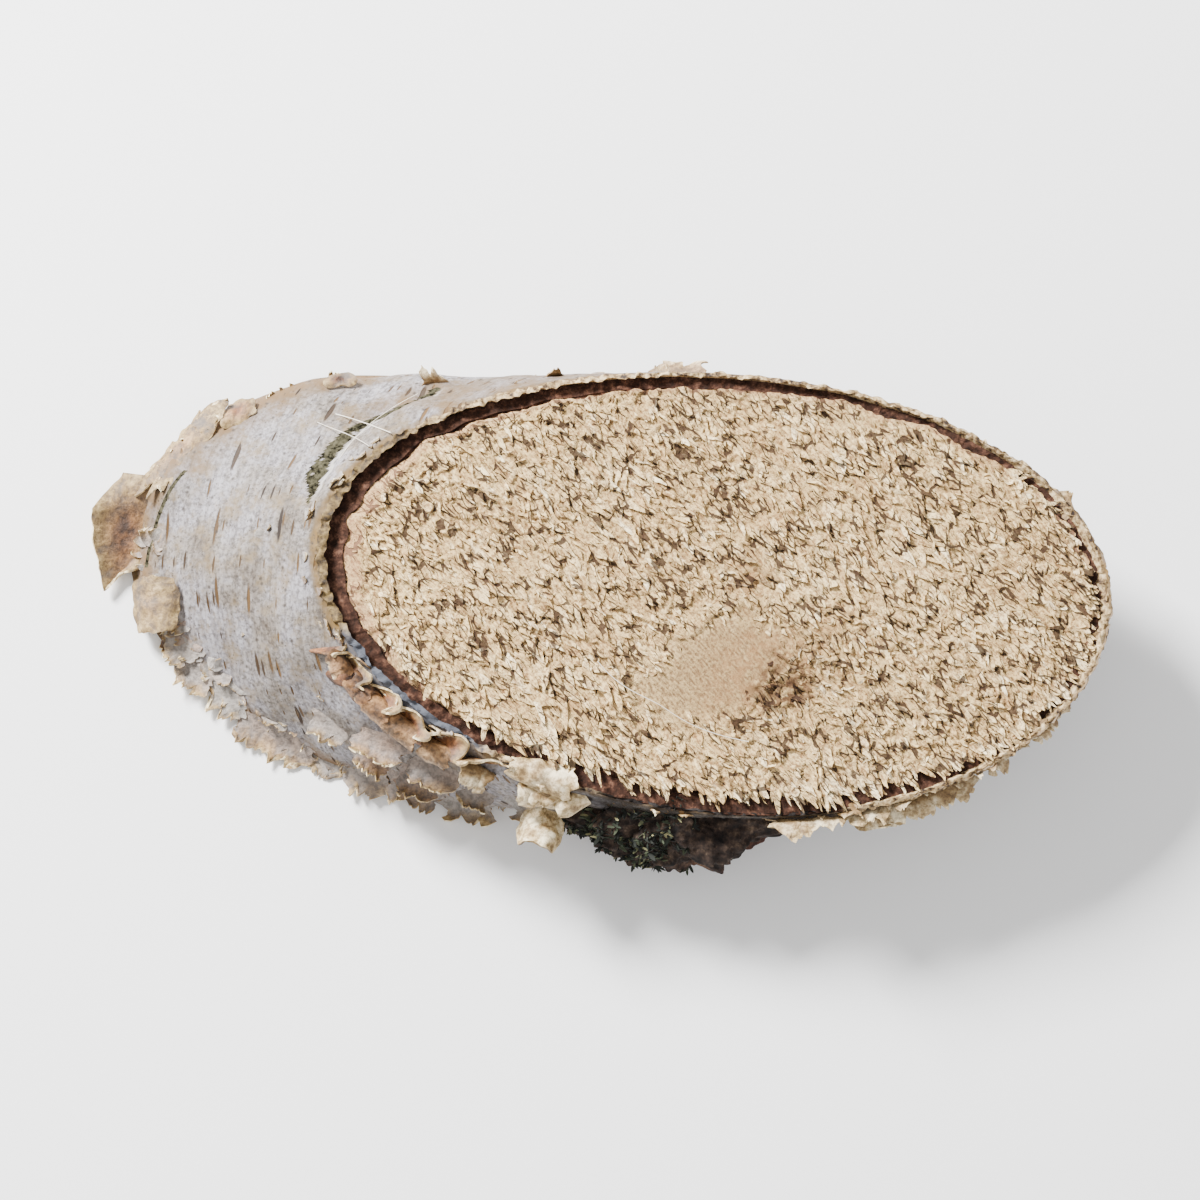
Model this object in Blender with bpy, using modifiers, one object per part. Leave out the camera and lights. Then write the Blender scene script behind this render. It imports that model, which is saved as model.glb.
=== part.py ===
"""A birch wood slice: a short length of branch sawn off at a slant, lying on its lower cut face.

The wood and its bark grew as one, so the slice is one solid. +X runs along the cut faces, the way the
branch leans, and +Z is up. The origin is the centre of the lower cut face. Lengths are in metres.
"""

import math
import random

import bmesh
import bpy
from mathutils import Vector, noise

# Driving dimensions.
BRANCH_RADIUS = 0.030
CUT_ANGLE = math.radians(33)
THICKNESS = 0.018

# The branch is a leaning cylinder, so its cuts are ellipses and the upper one is shifted along +X.
LONG_RADIUS = BRANCH_RADIUS / math.sin(CUT_ANGLE)
LEAN = THICKNESS / math.tan(CUT_ANGLE)

# How far the branch is out of round: waves round it, the share of the radius, and the angle of the crest.
OUT_OF_ROUND = ((1, 0.032, 28), (2, 0.026, 134), (3, 0.020, 135))

# Where the wood ends and the bark begins, as a share of the way out: the bark is thickest at -X.
WOOD_EDGE = 0.925
WOOD_EDGE_SHIFT = 0.028
RAGGED_EDGE = 0.3
RAGGED_WAVES = 9

# The rings within the bark, each as a share of the way from the wood to the outside.
INNER_BARK_INNER = 0.14
INNER_BARK_OUTER = 0.60
PAPER_BARK_INNER = 0.76

# How far each ring lies above or below the saw cut. The inner bark sinks most at -X, where it is thickest.
BARK_RIM_RISE = 0.0003
INNER_BARK_DROP = 0.0009
INNER_BARK_CRUMBS = 0.5
UNDERSIDE_RIM_LIFT = 0.0005

# Torn fibres on the upper cut: how far apart and how high they stand, and how far they lean.
FIBRE_SPACING = 0.0017
FIBRE_RISE = 0.0011
FIBRE_WANDER = 0.0006

# Swellings under the bark.
BARK_SWELL_SPACING = 0.010
BARK_SWELL = 0.0009

# The crease in the bark climbs towards the upper face between two angles round the branch.
CREASE_FROM, CREASE_TO = 118, 170
CREASE_HEIGHT_FROM, CREASE_HEIGHT_TO = 0.52, 0.92
CREASE_HALF_WIDTH = 0.0024
CREASE_DEPTH = 0.0013

# Mesh fineness: cells across the upper cut, rows up the bark, and the angle that slopes are measured over.
FACE_CELLS = 34
WALL_ROWS = 7
SLOPE_STEP = 0.01

# Peeling bark: tongues that are torn at their edges and roll outwards, tighter towards the tip.
CURL_THICKNESS = 0.0007
CURL_ROOT = 0.0016
CURL_CELL = 0.0019
CURL_TIGHTENING = 0.25
TEAR_SPACING = 0.0024
TEAR_DEPTH = 0.0024
LOWEST = 0.0003

# Each tongue: angle round the branch, share of the height, width, length, radius of its roll, heading,
# and the share of its width left at the tip. Heading 0 peels along the cut's edge towards higher angles,
# 90 up the bark and -90 down it.
CURLS = (
    (172, 0.20, 0.0100, 0.0125, 0.0080, -50, 0.2),
    (197, 0.25, 0.0085, 0.0120, 0.0030, -65, 0.9),
    (207, 0.16, 0.0060, 0.0055, 0.0050, -80, 0.7),
    (214, 0.12, 0.0070, 0.0060, 0.0045, -75, 0.6),
    (222, 0.13, 0.0075, 0.0055, 0.0050, -80, 0.7),
    (235, 0.18, 0.0115, 0.0095, 0.0060, -88, 0.8),
    (243, 0.10, 0.0080, 0.0055, 0.0050, -80, 0.6),
    (249, 0.21, 0.0080, 0.0080, 0.0042, -72, 0.7),
    (255, 0.24, 0.0075, 0.0075, 0.0040, -82, 0.6),
    (261, 0.22, 0.0070, 0.0075, 0.0038, -60, 0.7),
    (212, 0.91, 0.0044, 0.0072, 0.0018, 75, 0.9),
    (219, 0.90, 0.0045, 0.0080, 0.0018, 85, 0.9),
    (225, 0.88, 0.0045, 0.0085, 0.0019, 90, 0.8),
    (231, 0.86, 0.0050, 0.0090, 0.0019, 90, 0.9),
    (238, 0.84, 0.0045, 0.0080, 0.0018, 95, 0.8),
    (246, 0.80, 0.0060, 0.0070, 0.0025, 80, 0.8),
    (257, 0.86, 0.0065, 0.0085, 0.0022, 70, 0.9),
    (259, 0.66, 0.0070, 0.0090, 0.0026, 30, 0.9),
    (262, 0.46, 0.0065, 0.0090, 0.0026, 200, 0.9),
    (296, 0.84, 0.0180, 0.0055, 0.0060, 90, 0.9),
    (312, 0.80, 0.0180, 0.0070, 0.0055, 90, 0.8),
    (325, 0.84, 0.0050, 0.0060, 0.0040, 80, 0.5),
    (337, 0.86, 0.0060, 0.0055, 0.0035, 90, 0.5),
    (154, 0.14, 0.0165, 0.0065, 0.0026, -90, 0.8),
    (137, 0.23, 0.0068, 0.0070, 0.0034, -82, 0.7),
    (124, 0.14, 0.0050, 0.0055, 0.0030, -90, 0.6),
    (115, 0.36, 0.0044, 0.0052, 0.0036, 80, 0.6),
    (104, 0.60, 0.0035, 0.0045, 0.0028, 100, 0.5),
)
# Small tongues on the rest of the branch, one in each equal stretch of it, placed by a seeded draw.
LOOSE_CURLS = 9
LOOSE_FROM, LOOSE_TO = -22, 95
LOOSE_HEIGHTS = (0.3, 0.6, 0.85)
LOOSE_HEADINGS = (40, 90, 140)
LOOSE_WIDTHS = (0.0035, 0.0065)
LOOSE_LENGTHS = (0.0045, 0.0070)
LOOSE_RADII = (0.0020, 0.0040)
LOOSE_TIP = 0.6
LOOSE_SEED = 11

# The bark over an old branch stub: where it sits, its half sizes, and the roughness of its crust.
KNOT_ANGLE = 283
KNOT_HEIGHT = 0.0092
KNOT_HALF_SIZES = Vector((0.0135, 0.0068, 0.0064))
KNOT_LUMP_SPACING = 0.0035
KNOT_LUMP = 0.42

# Sawn birch, in linear light.
BIRCH_COLOUR = (0.62, 0.50, 0.36, 1)
BIRCH_ROUGHNESS = 0.9
SMOOTH_BELOW = math.radians(40)


def out_of_round(angle):
    """The branch's radius at an angle, as a share of its mean radius."""
    waves = (size * math.cos(count * angle - math.radians(crest)) for count, size, crest in OUT_OF_ROUND)
    return 1 + sum(waves)


def cut_point(angle, share, height):
    """A point at an angle round the branch, a share of the way out, at a height above the lower cut."""
    reach = share * out_of_round(angle)
    return Vector((
        LEAN * height / THICKNESS + LONG_RADIUS * reach * math.cos(angle),
        BRANCH_RADIUS * reach * math.sin(angle),
        height,
    ))


def bark_frame(angle, height_share):
    """A point on the bark, the direction out of it, and how far the cut's edge runs there in a radian."""
    height = height_share * THICKNESS
    ahead = cut_point(angle + SLOPE_STEP, 1, height)
    behind = cut_point(angle - SLOPE_STEP, 1, height)
    edgewise = (ahead - behind) / (2 * SLOPE_STEP)
    branch = Vector((math.cos(CUT_ANGLE), 0, math.sin(CUT_ANGLE)))
    return cut_point(angle, 1, height), edgewise.cross(branch).normalized(), edgewise


def bark_relief(angle, point):
    """How far the bark swells out, and sinks where the crease runs."""
    swell = BARK_SWELL * noise.noise(point / BARK_SWELL_SPACING)
    along = (math.degrees(angle) % 360 - CREASE_FROM) / (CREASE_TO - CREASE_FROM)
    if not 0 <= along <= 1:
        return swell
    crease = CREASE_HEIGHT_FROM + (CREASE_HEIGHT_TO - CREASE_HEIGHT_FROM) * along
    off_crease = abs(point.z - crease * THICKNESS) / CREASE_HALF_WIDTH
    return swell - CREASE_DEPTH * max(0, 1 - off_crease)


def wood_edge(angle):
    """Where the wood's ragged edge meets the bark at an angle, as a share of the way out."""
    bark = 1 - WOOD_EDGE - WOOD_EDGE_SHIFT * math.cos(angle)
    ragged = RAGGED_EDGE * noise.noise(Vector((math.cos(angle), math.sin(angle), 0)) * RAGGED_WAVES)
    return 1 - bark * (1 - ragged)


def bark_profile():
    """The slice's profile from the edge of its upper wood over the bark to the edge of its lower wood.

    Each entry is a share of the way through the bark, a height, and the surface that it lies on.
    """
    upper_rim = [
        (INNER_BARK_INNER, THICKNESS, "inner bark"),
        (INNER_BARK_OUTER, THICKNESS, "inner bark"),
        (PAPER_BARK_INNER, THICKNESS + BARK_RIM_RISE, "rim"),
        (1, THICKNESS, "rim"),
    ]
    wall = [(1, THICKNESS * (1 - row / WALL_ROWS), "bark") for row in range(1, WALL_ROWS)]
    lower_rim = [
        (1, UNDERSIDE_RIM_LIFT, "rim"),
        (INNER_BARK_INNER, UNDERSIDE_RIM_LIFT, "rim"),
        (0, 0, "rim"),
    ]
    return upper_rim + wall + lower_rim


def wood_point(angle, share):
    """A point on the upper cut's wood, with its torn fibres."""
    point = cut_point(angle, share * wood_edge(angle), THICKNESS)
    lean = noise.noise_vector(point / FIBRE_SPACING) * FIBRE_WANDER * (1 - share**4)
    return point + Vector((lean.x, lean.y, FIBRE_RISE * noise.cell(point / FIBRE_SPACING)))


def bark_point(angle, share, height, surface):
    """A point in the bark or on it, with the relief of its surface."""
    edge = wood_edge(angle)
    point = cut_point(angle, edge + (1 - edge) * share, height)
    if surface == "bark":
        point, outward, _ = bark_frame(angle, height / THICKNESS)
        return point + outward * bark_relief(angle, point)
    if surface == "inner bark":
        crumbs = 1 + INNER_BARK_CRUMBS * noise.noise(point / FIBRE_SPACING)
        point.z -= INNER_BARK_DROP * crumbs * (1 - math.cos(angle)) / 2
    return point


def new_object(name, bm, collection):
    """A mesh object with this shape, in this collection."""
    mesh = bpy.data.meshes.new(name)
    bm.to_mesh(mesh)
    bm.free()
    obj = bpy.data.objects.new(name, mesh)
    collection.objects.link(obj)
    return obj


def make_slice(collection):
    """The branch between its two cuts: a grid for the upper cut, its edge drawn out over the bark."""
    bm = bmesh.new()
    bmesh.ops.create_grid(bm, x_segments=FACE_CELLS, y_segments=FACE_CELLS, size=1)
    angle_of = bm.verts.layers.float.new("angle")
    for vert in bm.verts:
        round_x = vert.co.x * math.sqrt(1 - vert.co.y**2 / 2)
        round_y = vert.co.y * math.sqrt(1 - vert.co.x**2 / 2)
        vert[angle_of] = math.atan2(round_y, round_x)
        vert.co = wood_point(vert[angle_of], math.hypot(round_x, round_y))
    edge = [e for e in bm.edges if e.is_boundary]
    for share, height, surface in bark_profile():
        drawn_out = bmesh.ops.extrude_edge_only(bm, edges=edge)["geom"]
        edge = [e for e in drawn_out if isinstance(e, bmesh.types.BMEdge)]
        for vert in drawn_out:
            if isinstance(vert, bmesh.types.BMVert):
                vert.co = bark_point(vert[angle_of], share, height, surface)
    bmesh.ops.contextual_create(bm, geom=edge)
    bmesh.ops.recalc_face_normals(bm, faces=bm.faces)
    return new_object("birch_slice", bm, collection)


def torn(size, distance, angle):
    """A tongue's length or half width, at a distance along the torn edge that ends it."""
    stray = noise.noise(Vector((distance / TEAR_SPACING, angle * math.tau, 0)))
    return size + min(TEAR_DEPTH, size / 2) * stray


def curl_point(spec, along, across):
    """A point of a tongue of bark: along runs from 0 at its root to 1, across from -1 to 1."""
    angle, height_share, width, length, radius, heading, tip = spec
    angle, heading = math.radians(angle), math.radians(heading)
    _, outward, edgewise = bark_frame(angle, height_share)
    climb = outward.cross(edgewise.normalized()).z / THICKNESS

    # The root follows the bark, so a wide tongue stays on it.
    side = math.copysign(1, across)
    aside = across * torn(width / 2 * (1 + (tip - 1) * along), along * length, angle + side)
    root_angle = angle - aside * math.sin(heading) / edgewise.length
    root, outward, edgewise = bark_frame(root_angle, height_share + aside * math.cos(heading) * climb)
    around = edgewise.normalized()
    ahead = around * math.cos(heading) + outward.cross(around) * math.sin(heading)
    if along == 0:
        return root - (outward + ahead) * CURL_ROOT

    roll = radius * (1 - CURL_TIGHTENING * along)
    turned = along * torn(length, across * width, angle) / radius
    return root + ahead * roll * math.sin(turned) + outward * roll * (1 - math.cos(turned))


def make_curl(number, spec, collection):
    """One tongue of papery bark, its root sunk in the branch."""
    _, _, width, length, _, _, _ = spec
    bm = bmesh.new()
    steps_along, steps_across = (max(3, round(size / CURL_CELL)) for size in (length, width))
    bmesh.ops.create_grid(bm, x_segments=steps_along, y_segments=steps_across, size=1)
    for vert in bm.verts:
        vert.co = curl_point(spec, (vert.co.x + 1) / 2, vert.co.y)
        vert.co.z = max(vert.co.z, LOWEST + CURL_THICKNESS)
    curl = new_object(f"curl_{number}", bm, collection)
    thickness = curl.modifiers.new("Thickness", "SOLIDIFY")
    thickness.thickness = CURL_THICKNESS
    thickness.offset = 0


def loose_curls():
    """Small tongues over the rest of the branch, clear of the underside."""
    draw = random.Random(LOOSE_SEED)
    stretch = (LOOSE_TO - LOOSE_FROM) / LOOSE_CURLS
    return [
        (
            LOOSE_FROM + stretch * (number + draw.random()),
            draw.choice(LOOSE_HEIGHTS),
            draw.uniform(*LOOSE_WIDTHS),
            draw.uniform(*LOOSE_LENGTHS),
            draw.uniform(*LOOSE_RADII),
            draw.choice(LOOSE_HEADINGS),
            LOOSE_TIP,
        )
        for number in range(LOOSE_CURLS)
    ]


def make_knot(collection):
    """The crusted stub of an old branch, part way round the bark."""
    middle, _, _ = bark_frame(math.radians(KNOT_ANGLE), KNOT_HEIGHT / THICKNESS)
    bm = bmesh.new()
    bmesh.ops.create_icosphere(bm, subdivisions=3, radius=1)
    for vert in bm.verts:
        reach = Vector(a * b for a, b in zip(vert.co, KNOT_HALF_SIZES))
        lump = 1 + KNOT_LUMP * noise.noise((middle + reach) / KNOT_LUMP_SPACING)
        vert.co = middle + reach * lump
    new_object("knot", bm, collection)


def fuse(body, collection):
    """Joins everything in a collection to the body as one solid, then removes the collection."""
    union = body.modifiers.new("Grown together", "BOOLEAN")
    union.operation = "UNION"
    union.operand_type = "COLLECTION"
    union.collection = collection
    union.solver = "EXACT"
    union.use_self = True
    bpy.context.view_layer.objects.active = body
    bpy.ops.object.modifier_apply(modifier=union.name)
    for obj in list(collection.objects):
        bpy.data.objects.remove(obj)
    bpy.data.collections.remove(collection)


def shell_of(start):
    """All the points joined by edges to one point."""
    found, waiting = {start}, [start]
    while waiting:
        vert = waiting.pop()
        near = {edge.other_vert(vert) for edge in vert.link_edges} - found
        found |= near
        waiting.extend(near)
    return found


def keep_outer_shell(body):
    """Fills the hollows that the union sealed and drops loose scraps: each is a smaller shell of its own.

    What is left is split into triangles, so that no face of it is bent.
    """
    bm = bmesh.new()
    bm.from_mesh(body.data)
    left, largest = set(bm.verts), set()
    while left:
        shell = shell_of(next(iter(left)))
        left -= shell
        largest = max(largest, shell, key=len)
    bmesh.ops.delete(bm, geom=[vert for vert in bm.verts if vert not in largest], context="VERTS")
    bmesh.ops.triangulate(bm, faces=bm.faces)
    bm.to_mesh(body.data)
    bm.free()


def birch_material():
    """Sawn birch: pale, dry and matt."""
    material = bpy.data.materials.new("sawn birch")
    material.use_nodes = True
    shader = material.node_tree.nodes["Principled BSDF"]
    shader.inputs["Base Color"].default_value = BIRCH_COLOUR
    shader.inputs["Roughness"].default_value = BIRCH_ROUGHNESS
    shader.inputs["Metallic"].default_value = 0
    return material


def new_collection(name):
    """A collection in the scene."""
    collection = bpy.data.collections.new(name)
    bpy.context.scene.collection.children.link(collection)
    return collection


def main():
    for obj in list(bpy.data.objects):
        bpy.data.objects.remove(obj)
    parts = new_collection("birch wood slice")
    grown_on = new_collection("grown on the branch")
    body = make_slice(parts)
    for number, spec in enumerate([*CURLS, *loose_curls()]):
        make_curl(number, spec, grown_on)
    make_knot(grown_on)
    fuse(body, grown_on)
    keep_outer_shell(body)
    body.data.materials.clear()
    body.data.materials.append(birch_material())
    body.data.shade_smooth()
    body.data.set_sharp_from_angle(angle=SMOOTH_BELOW)


main()
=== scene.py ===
"""Gives the birch wood slice its fine surface, and stands it on a pale floor in soft light.

The slice is a short length of branch sawn off at a slant: a rough cut of torn fibres, a dark crumbly ring
of inner bark, a wall of white papery bark that peels in tongues, and a crusted knot. Lengths are in
metres, +X runs along the cuts the way the branch leans, and +Z is up.
"""

import math
import random
from functools import partial

import bpy
import numpy as np
from mathutils import Matrix, Vector, noise


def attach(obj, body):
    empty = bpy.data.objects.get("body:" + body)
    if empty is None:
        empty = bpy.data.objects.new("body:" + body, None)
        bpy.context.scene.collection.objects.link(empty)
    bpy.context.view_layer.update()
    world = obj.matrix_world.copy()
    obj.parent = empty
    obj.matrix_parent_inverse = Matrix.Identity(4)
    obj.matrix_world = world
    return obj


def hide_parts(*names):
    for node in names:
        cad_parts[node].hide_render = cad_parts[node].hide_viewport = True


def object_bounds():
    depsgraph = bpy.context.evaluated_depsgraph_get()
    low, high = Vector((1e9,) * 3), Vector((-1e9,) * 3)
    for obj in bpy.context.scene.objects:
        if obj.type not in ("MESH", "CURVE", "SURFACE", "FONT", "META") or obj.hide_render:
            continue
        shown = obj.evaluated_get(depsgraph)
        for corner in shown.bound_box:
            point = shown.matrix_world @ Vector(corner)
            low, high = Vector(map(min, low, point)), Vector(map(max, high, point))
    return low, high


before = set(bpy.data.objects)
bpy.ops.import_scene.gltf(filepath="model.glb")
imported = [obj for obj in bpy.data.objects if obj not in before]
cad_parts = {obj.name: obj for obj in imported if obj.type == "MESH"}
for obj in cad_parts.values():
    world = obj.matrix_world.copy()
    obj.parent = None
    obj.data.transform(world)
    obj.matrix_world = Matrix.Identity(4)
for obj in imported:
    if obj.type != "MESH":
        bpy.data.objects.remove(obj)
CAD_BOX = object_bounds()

bl_info = {
    "name": "Birch wood slice",
    "version": (1, 0, 0),
    "blender": (4, 5, 0),
    "location": "3D View > Sidebar > Birch slice",
    "description": "Makes the fibres, bark and peeling curls of a birch wood slice, and its stage",
    "category": "Add Mesh",
}

MM = 0.001

# The noise that moves points sideways takes its seed from the clock unless it is given one.
NOISE_SEED = 1

# The branch's form, the same as the solid's. Each wave out of round: its count, size and crest's angle.
OUT_OF_ROUND = ((1, 0.032, 28), (2, 0.026, 134), (3, 0.020, 135))
WOOD_EDGE = 0.925
WOOD_EDGE_SHIFT = 0.028
RAGGED_EDGE = 0.3
RAGGED_WAVES = 9
BARK_RIM_RISE = 0.3 * MM
INNER_BARK_DROP = 0.9 * MM
UNDERSIDE_RIM_LIFT = 0.5 * MM
BARK_SWELL_SPACING = 10 * MM
BARK_SWELL = 0.9 * MM
CREASE_FROM, CREASE_TO = 118, 170
CREASE_HEIGHT_FROM, CREASE_HEIGHT_TO = 0.52, 0.92
CREASE_HALF_WIDTH = 2.4 * MM
CREASE_DEPTH = 1.3 * MM
SLOPE_STEP = 0.01

# Where the papery bark begins, as a share of the way from the wood to the outside, at the left and the right.
PAPER_BARK_INNER = (0.72, 0.64)

# Stretches round the branch, in degrees: where each begins, is full, begins to fade, and ends.
CRUMBLED_WOOD = (232, 250, 300, 325)
CRUMBLED_WOOD_SHARE = 0.055
CRUSTED_RIM = (248, 262, 290, 301)
OCHRE_RIM = (128, 150, 200, 212)
GREY_LAYER = (201, 207, 236, 243)
TAN_BARK = (108, 124, 158, 170)
TAN_TOP = (60, 84, 128, 150)
FLARED_FOOT = (100, 125, 160, 180)
FLARE = 2.8 * MM

# The torn cut: flakes of fibre in two sizes, each tilted up towards its free end, with a crease beyond it.
# Each size: length, width and rise; the lots between which its creases open, and how deep they then are; and
# its share of the cut's tone.
FIBRE_HEADING = math.radians(-43)
FLAKES = (
    (2.6 * MM, 1.25 * MM, 0.42 * MM, 0.25, 0.60, 1.00, 0.62),
    (1.25 * MM, 0.60 * MM, 0.20 * MM, 0.35, 0.75, 0.75, 0.38),
)
FLAKE_WANDER_SPACING = 9 * MM
FLAKE_WANDER = 3.2 * MM
CREASE_SHARE = 0.09
FIBRE_CREASE_DEPTH = 0.40 * MM
FINE_FIBRE = (1.1 * MM, 0.26 * MM, 0.10 * MM)
FACE_SWELL_SPACING = 9 * MM
FACE_SWELL = 0.30 * MM
PITH_ROUGHNESS = 0.35 * MM
PITH_ROUGHNESS_SPACING = 0.9 * MM
EDGE_TEETH_SPACING = 1.1 * MM
EDGE_TEETH = 0.35 * MM

# Marks on the cut: each one's centre, half length, half width and turn in degrees. Their outlines stray.
PITH = (39.0 * MM, -11.5 * MM, 5.5 * MM, 4.5 * MM, 30)
PITH_HALO = (37.5 * MM, -9.5 * MM, 14 * MM, 9 * MM, 35)
SMOOTH_PATCH = (30.0 * MM, -10.6 * MM, 16.5 * MM, 8.2 * MM, 38)
STAIN = (33.5 * MM, 2.5 * MM, 5 * MM, 6 * MM, 20)
LARGE_PLATES = (6.0 * MM, -19.5 * MM, 13 * MM, 8 * MM, -25)
PATCH_STRAY_SPACING = 3.5 * MM
PATCH_STRAY = 2.2 * MM

# The torn shingles that stand on the cut: their spacing along and across the fibres, and their sizes.
SHINGLE_SPACING = (1.45 * MM, 0.95 * MM)
SHINGLE_LENGTHS = (1.2 * MM, 3.1 * MM)
SHINGLE_WIDTHS = (0.55 * MM, 1.2 * MM)
SHINGLE_DEPTH = 0.27 * MM
SHINGLE_SINK = 0.10 * MM
SHINGLE_CRUMPLE_SPACING = 0.8 * MM
SHINGLE_CRUMPLE = 0.26 * MM

# The splinters: how many curl round the pith, and how many overhang the ring, over which stretch of it.
FIBRE_SEED = 3
PITH_CURLS = 240
OVERHANGING_TEETH = 860
OVERHANG_FROM, OVERHANG_STRETCH = 205, 200

# The faces of each large piece along its first and its second direction.
UPPER_CUT_GRID = (330, 180)
LOWER_CUT_GRID = (170, 94)
INNER_BARK_GRID = (1000, 32)
PAPERY_BARK_GRID = (820, 102)
RUFFLE_GRID = (190, 14)
FLAP_GRID = (24, 48)

# The height of one row of the wall's faces, as a share of the slice's height.
BARK_ROW = 1 / 80

# Each ring's cross-section, from row to row: the row, the share of the way through the bark, and the share of
# the height. A share below 0 is under the wood or behind the inner bark, where nothing shows.
INNER_BARK_SECTION = (
    (-4, -0.9, 0.1), (1, -0.9, 0.88), (4, 1, 1), (19, 0, 1), (23, 0, 0), (27, 1, 0), (28, -0.9, 0.1),
)
PAPERY_BARK_SECTION = (
    (-40, 1, 0), (-40 + 1 / BARK_ROW, 1, 1), (46, 0, 1), (49, 0, 0.90),
    (51, -1, 0.84), (54, -1, 0.12), (57, 0, 0), (62, 1, 0),
)

# Each tongue of peeling bark: angle round the branch, share of the height, width, length, radius of its
# roll, heading, share of its width left at the tip, and how orange its inner side is.
PEELS = (
    (207, 0.16, 5.0, 5.5, 5.0, -80, 0.5, 0.1),
    (214, 0.12, 6.0, 6.0, 4.5, -75, 0.5, 0.2),
    (222, 0.13, 6.5, 5.0, 5.0, -80, 0.6, 0.0),
    (233, 0.15, 10.5, 7.0, 6.0, -88, 0.9, 0.35),
    (243, 0.10, 7.0, 5.0, 5.0, -80, 0.5, 0.1),
    (248, 0.16, 5.5, 6.0, 4.2, -72, 0.5, 0.2),
    (252, 0.22, 4.0, 6.0, 3.6, -88, 0.5, 0.3),
    (256, 0.20, 5.5, 6.0, 4.0, -82, 0.6, 0.3),
    (262, 0.20, 5.5, 6.0, 3.8, -60, 0.7, 0.1),
    (212, 0.91, 4.4, 7.2, 1.8, 75, 0.9, 0.9),
    (219, 0.90, 4.5, 8.0, 1.8, 85, 0.9, 1.0),
    (225, 0.88, 4.5, 8.5, 1.9, 90, 0.8, 0.9),
    (231, 0.86, 5.0, 9.0, 1.9, 90, 0.9, 0.8),
    (238, 0.84, 4.5, 8.0, 1.8, 95, 0.8, 0.7),
    (246, 0.80, 6.0, 7.0, 2.5, 80, 0.8, 0.1),
    (256, 0.80, 5.0, 5.0, 2.2, 85, 0.9, 0.0),
    (262, 0.60, 7.0, 6.0, 4.5, -80, 0.9, 0.0),
    (230, 0.48, 5.0, 5.0, 2.6, -85, 0.7, 0.2),
    (235, 0.64, 6.0, 6.0, 3.0, -80, 0.8, 0.4),
    (240, 0.48, 6.5, 6.0, 3.2, -95, 0.8, 0.5),
    (245, 0.62, 5.5, 6.0, 2.8, -80, 0.8, 0.3),
    (249, 0.42, 6.0, 6.0, 3.4, -90, 0.7, 0.4),
    (255, 0.52, 5.0, 5.5, 2.6, -90, 0.8, 0.2),
    (296, 0.84, 18.0, 5.5, 6.0, 90, 0.9, 0.1),
    (312, 0.80, 18.0, 7.0, 5.5, 90, 0.8, 0.1),
    (325, 0.84, 5.0, 6.0, 4.0, 80, 0.5, 0.1),
    (337, 0.86, 6.0, 5.5, 3.5, 90, 0.5, 0.1),
    (154, 0.17, 16.5, 6.2, 5.0, -90, 0.85, 0.3),
    (137, 0.23, 6.8, 7.0, 5.5, -82, 0.8, 0.9),
    (124, 0.14, 5.0, 5.5, 3.0, -90, 0.6, 0.5),
    (115, 0.36, 4.4, 5.2, 3.6, 80, 0.6, 0.2),
    (104, 0.60, 3.0, 2.6, 2.8, 100, 0.5, 0.2),
)
PEEL_THICKNESS = 0.20 * MM
PEEL_CELL = 0.38 * MM
PEEL_ROOT = 1.0 * MM
PEEL_TIGHTENING = 0.25
PEEL_CRUMPLE_SPACING = 1.7 * MM
PEEL_CRUMPLE = 0.26 * MM
TEAR_SPACING = 2.0 * MM
TEAR_DEPTH = 2.4 * MM
TEETH_SPACING = 0.6 * MM
TEETH_DEPTH = 0.9 * MM
LOWEST = 0.3 * MM

# The slit beside the flap at the left tip, painted dark as the flap's shadow: its stretch in degrees, one
# angle and the share of the height there, how much that falls in a degree, and half the slit's own width as a
# share of the height.
SLIT_FROM, SLIT_TO = 160, 187
SLIT_ANGLE, SLIT_HEIGHT = 164, 0.165
SLIT_FALL = 0.0036
SLIT_HALF_WIDTH = 0.009

# The flap below the slit: its root's stretch, how far the root is sunk, and its free edge's corners in mm.
FLAP_FROM, FLAP_TO = 161, 187
FLAP_SINK = 0.6 * MM
FLAP_EDGE = ((-55.6, 9.6, 2.0), (-59.0, 3.6, 4.0), (-58.2, -0.6, 3.3), (-56.0, -7.2, 1.3), (-54.0, -4.6, 1.5))
FLAP_HOLLOW = 1.0 * MM
STRIP_THICKNESS = 0.34 * MM

# Small shells of curled bark, in mm: centre; length, width and curl in degrees; turn, rise along and rise
# across in degrees; how ragged the outline is; how orange its hollow is, an orange-brown that is partly
# painted shade; whether its weathered side is up.
SHELLS = (
    ((-48.6, -9.0, 4.6), (8.2, 8.4, 95), (100, 4, -25), 0.10, 0.3, True),
    ((8.8, -28.0, 18.4), (9.4, 6.6, 200), (-12, 3, 16), 0.30, 0.3, False),
    ((9.0, -30.7, 16.0), (6.2, 6.4, 170), (5, 0, 38), 0.20, 0.4, False),
    ((13.6, -31.0, 16.2), (4.6, 4.6, 180), (40, 12, 30), 0.12, 0.0, False),
    ((9.6, -34.0, 12.9), (6.2, 7.4, 130), (80, -30, 0), 0.12, 0.0, False),
    ((-48.0, 13.6, 3.4), (15.5, 5.0, 50), (58, 0, -30), 0.45, 0.5, True),
    ((-40.6, 20.0, 4.0), (6.0, 4.4, 70), (35, 0, -24), 0.35, 1.0, True),
    ((-26.8, 26.0, 5.4), (4.6, 2.2, 60), (18, 0, -15), 0.25, 1.0, True),
)
SHELL_THICKNESS = 0.28 * MM

# The ruffled sheet beside the ring: its stretch, heights of its root and free edge, wave, depth and lean.
RUFFLE_FROM, RUFFLE_TO = math.radians(207), math.radians(246)
RUFFLE_HEIGHTS = (0.70, 0.985)
RUFFLE_WAVE = 5.6 * MM
RUFFLE_DEPTH = 1.5 * MM
RUFFLE_LEAN = 2.1 * MM

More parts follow.
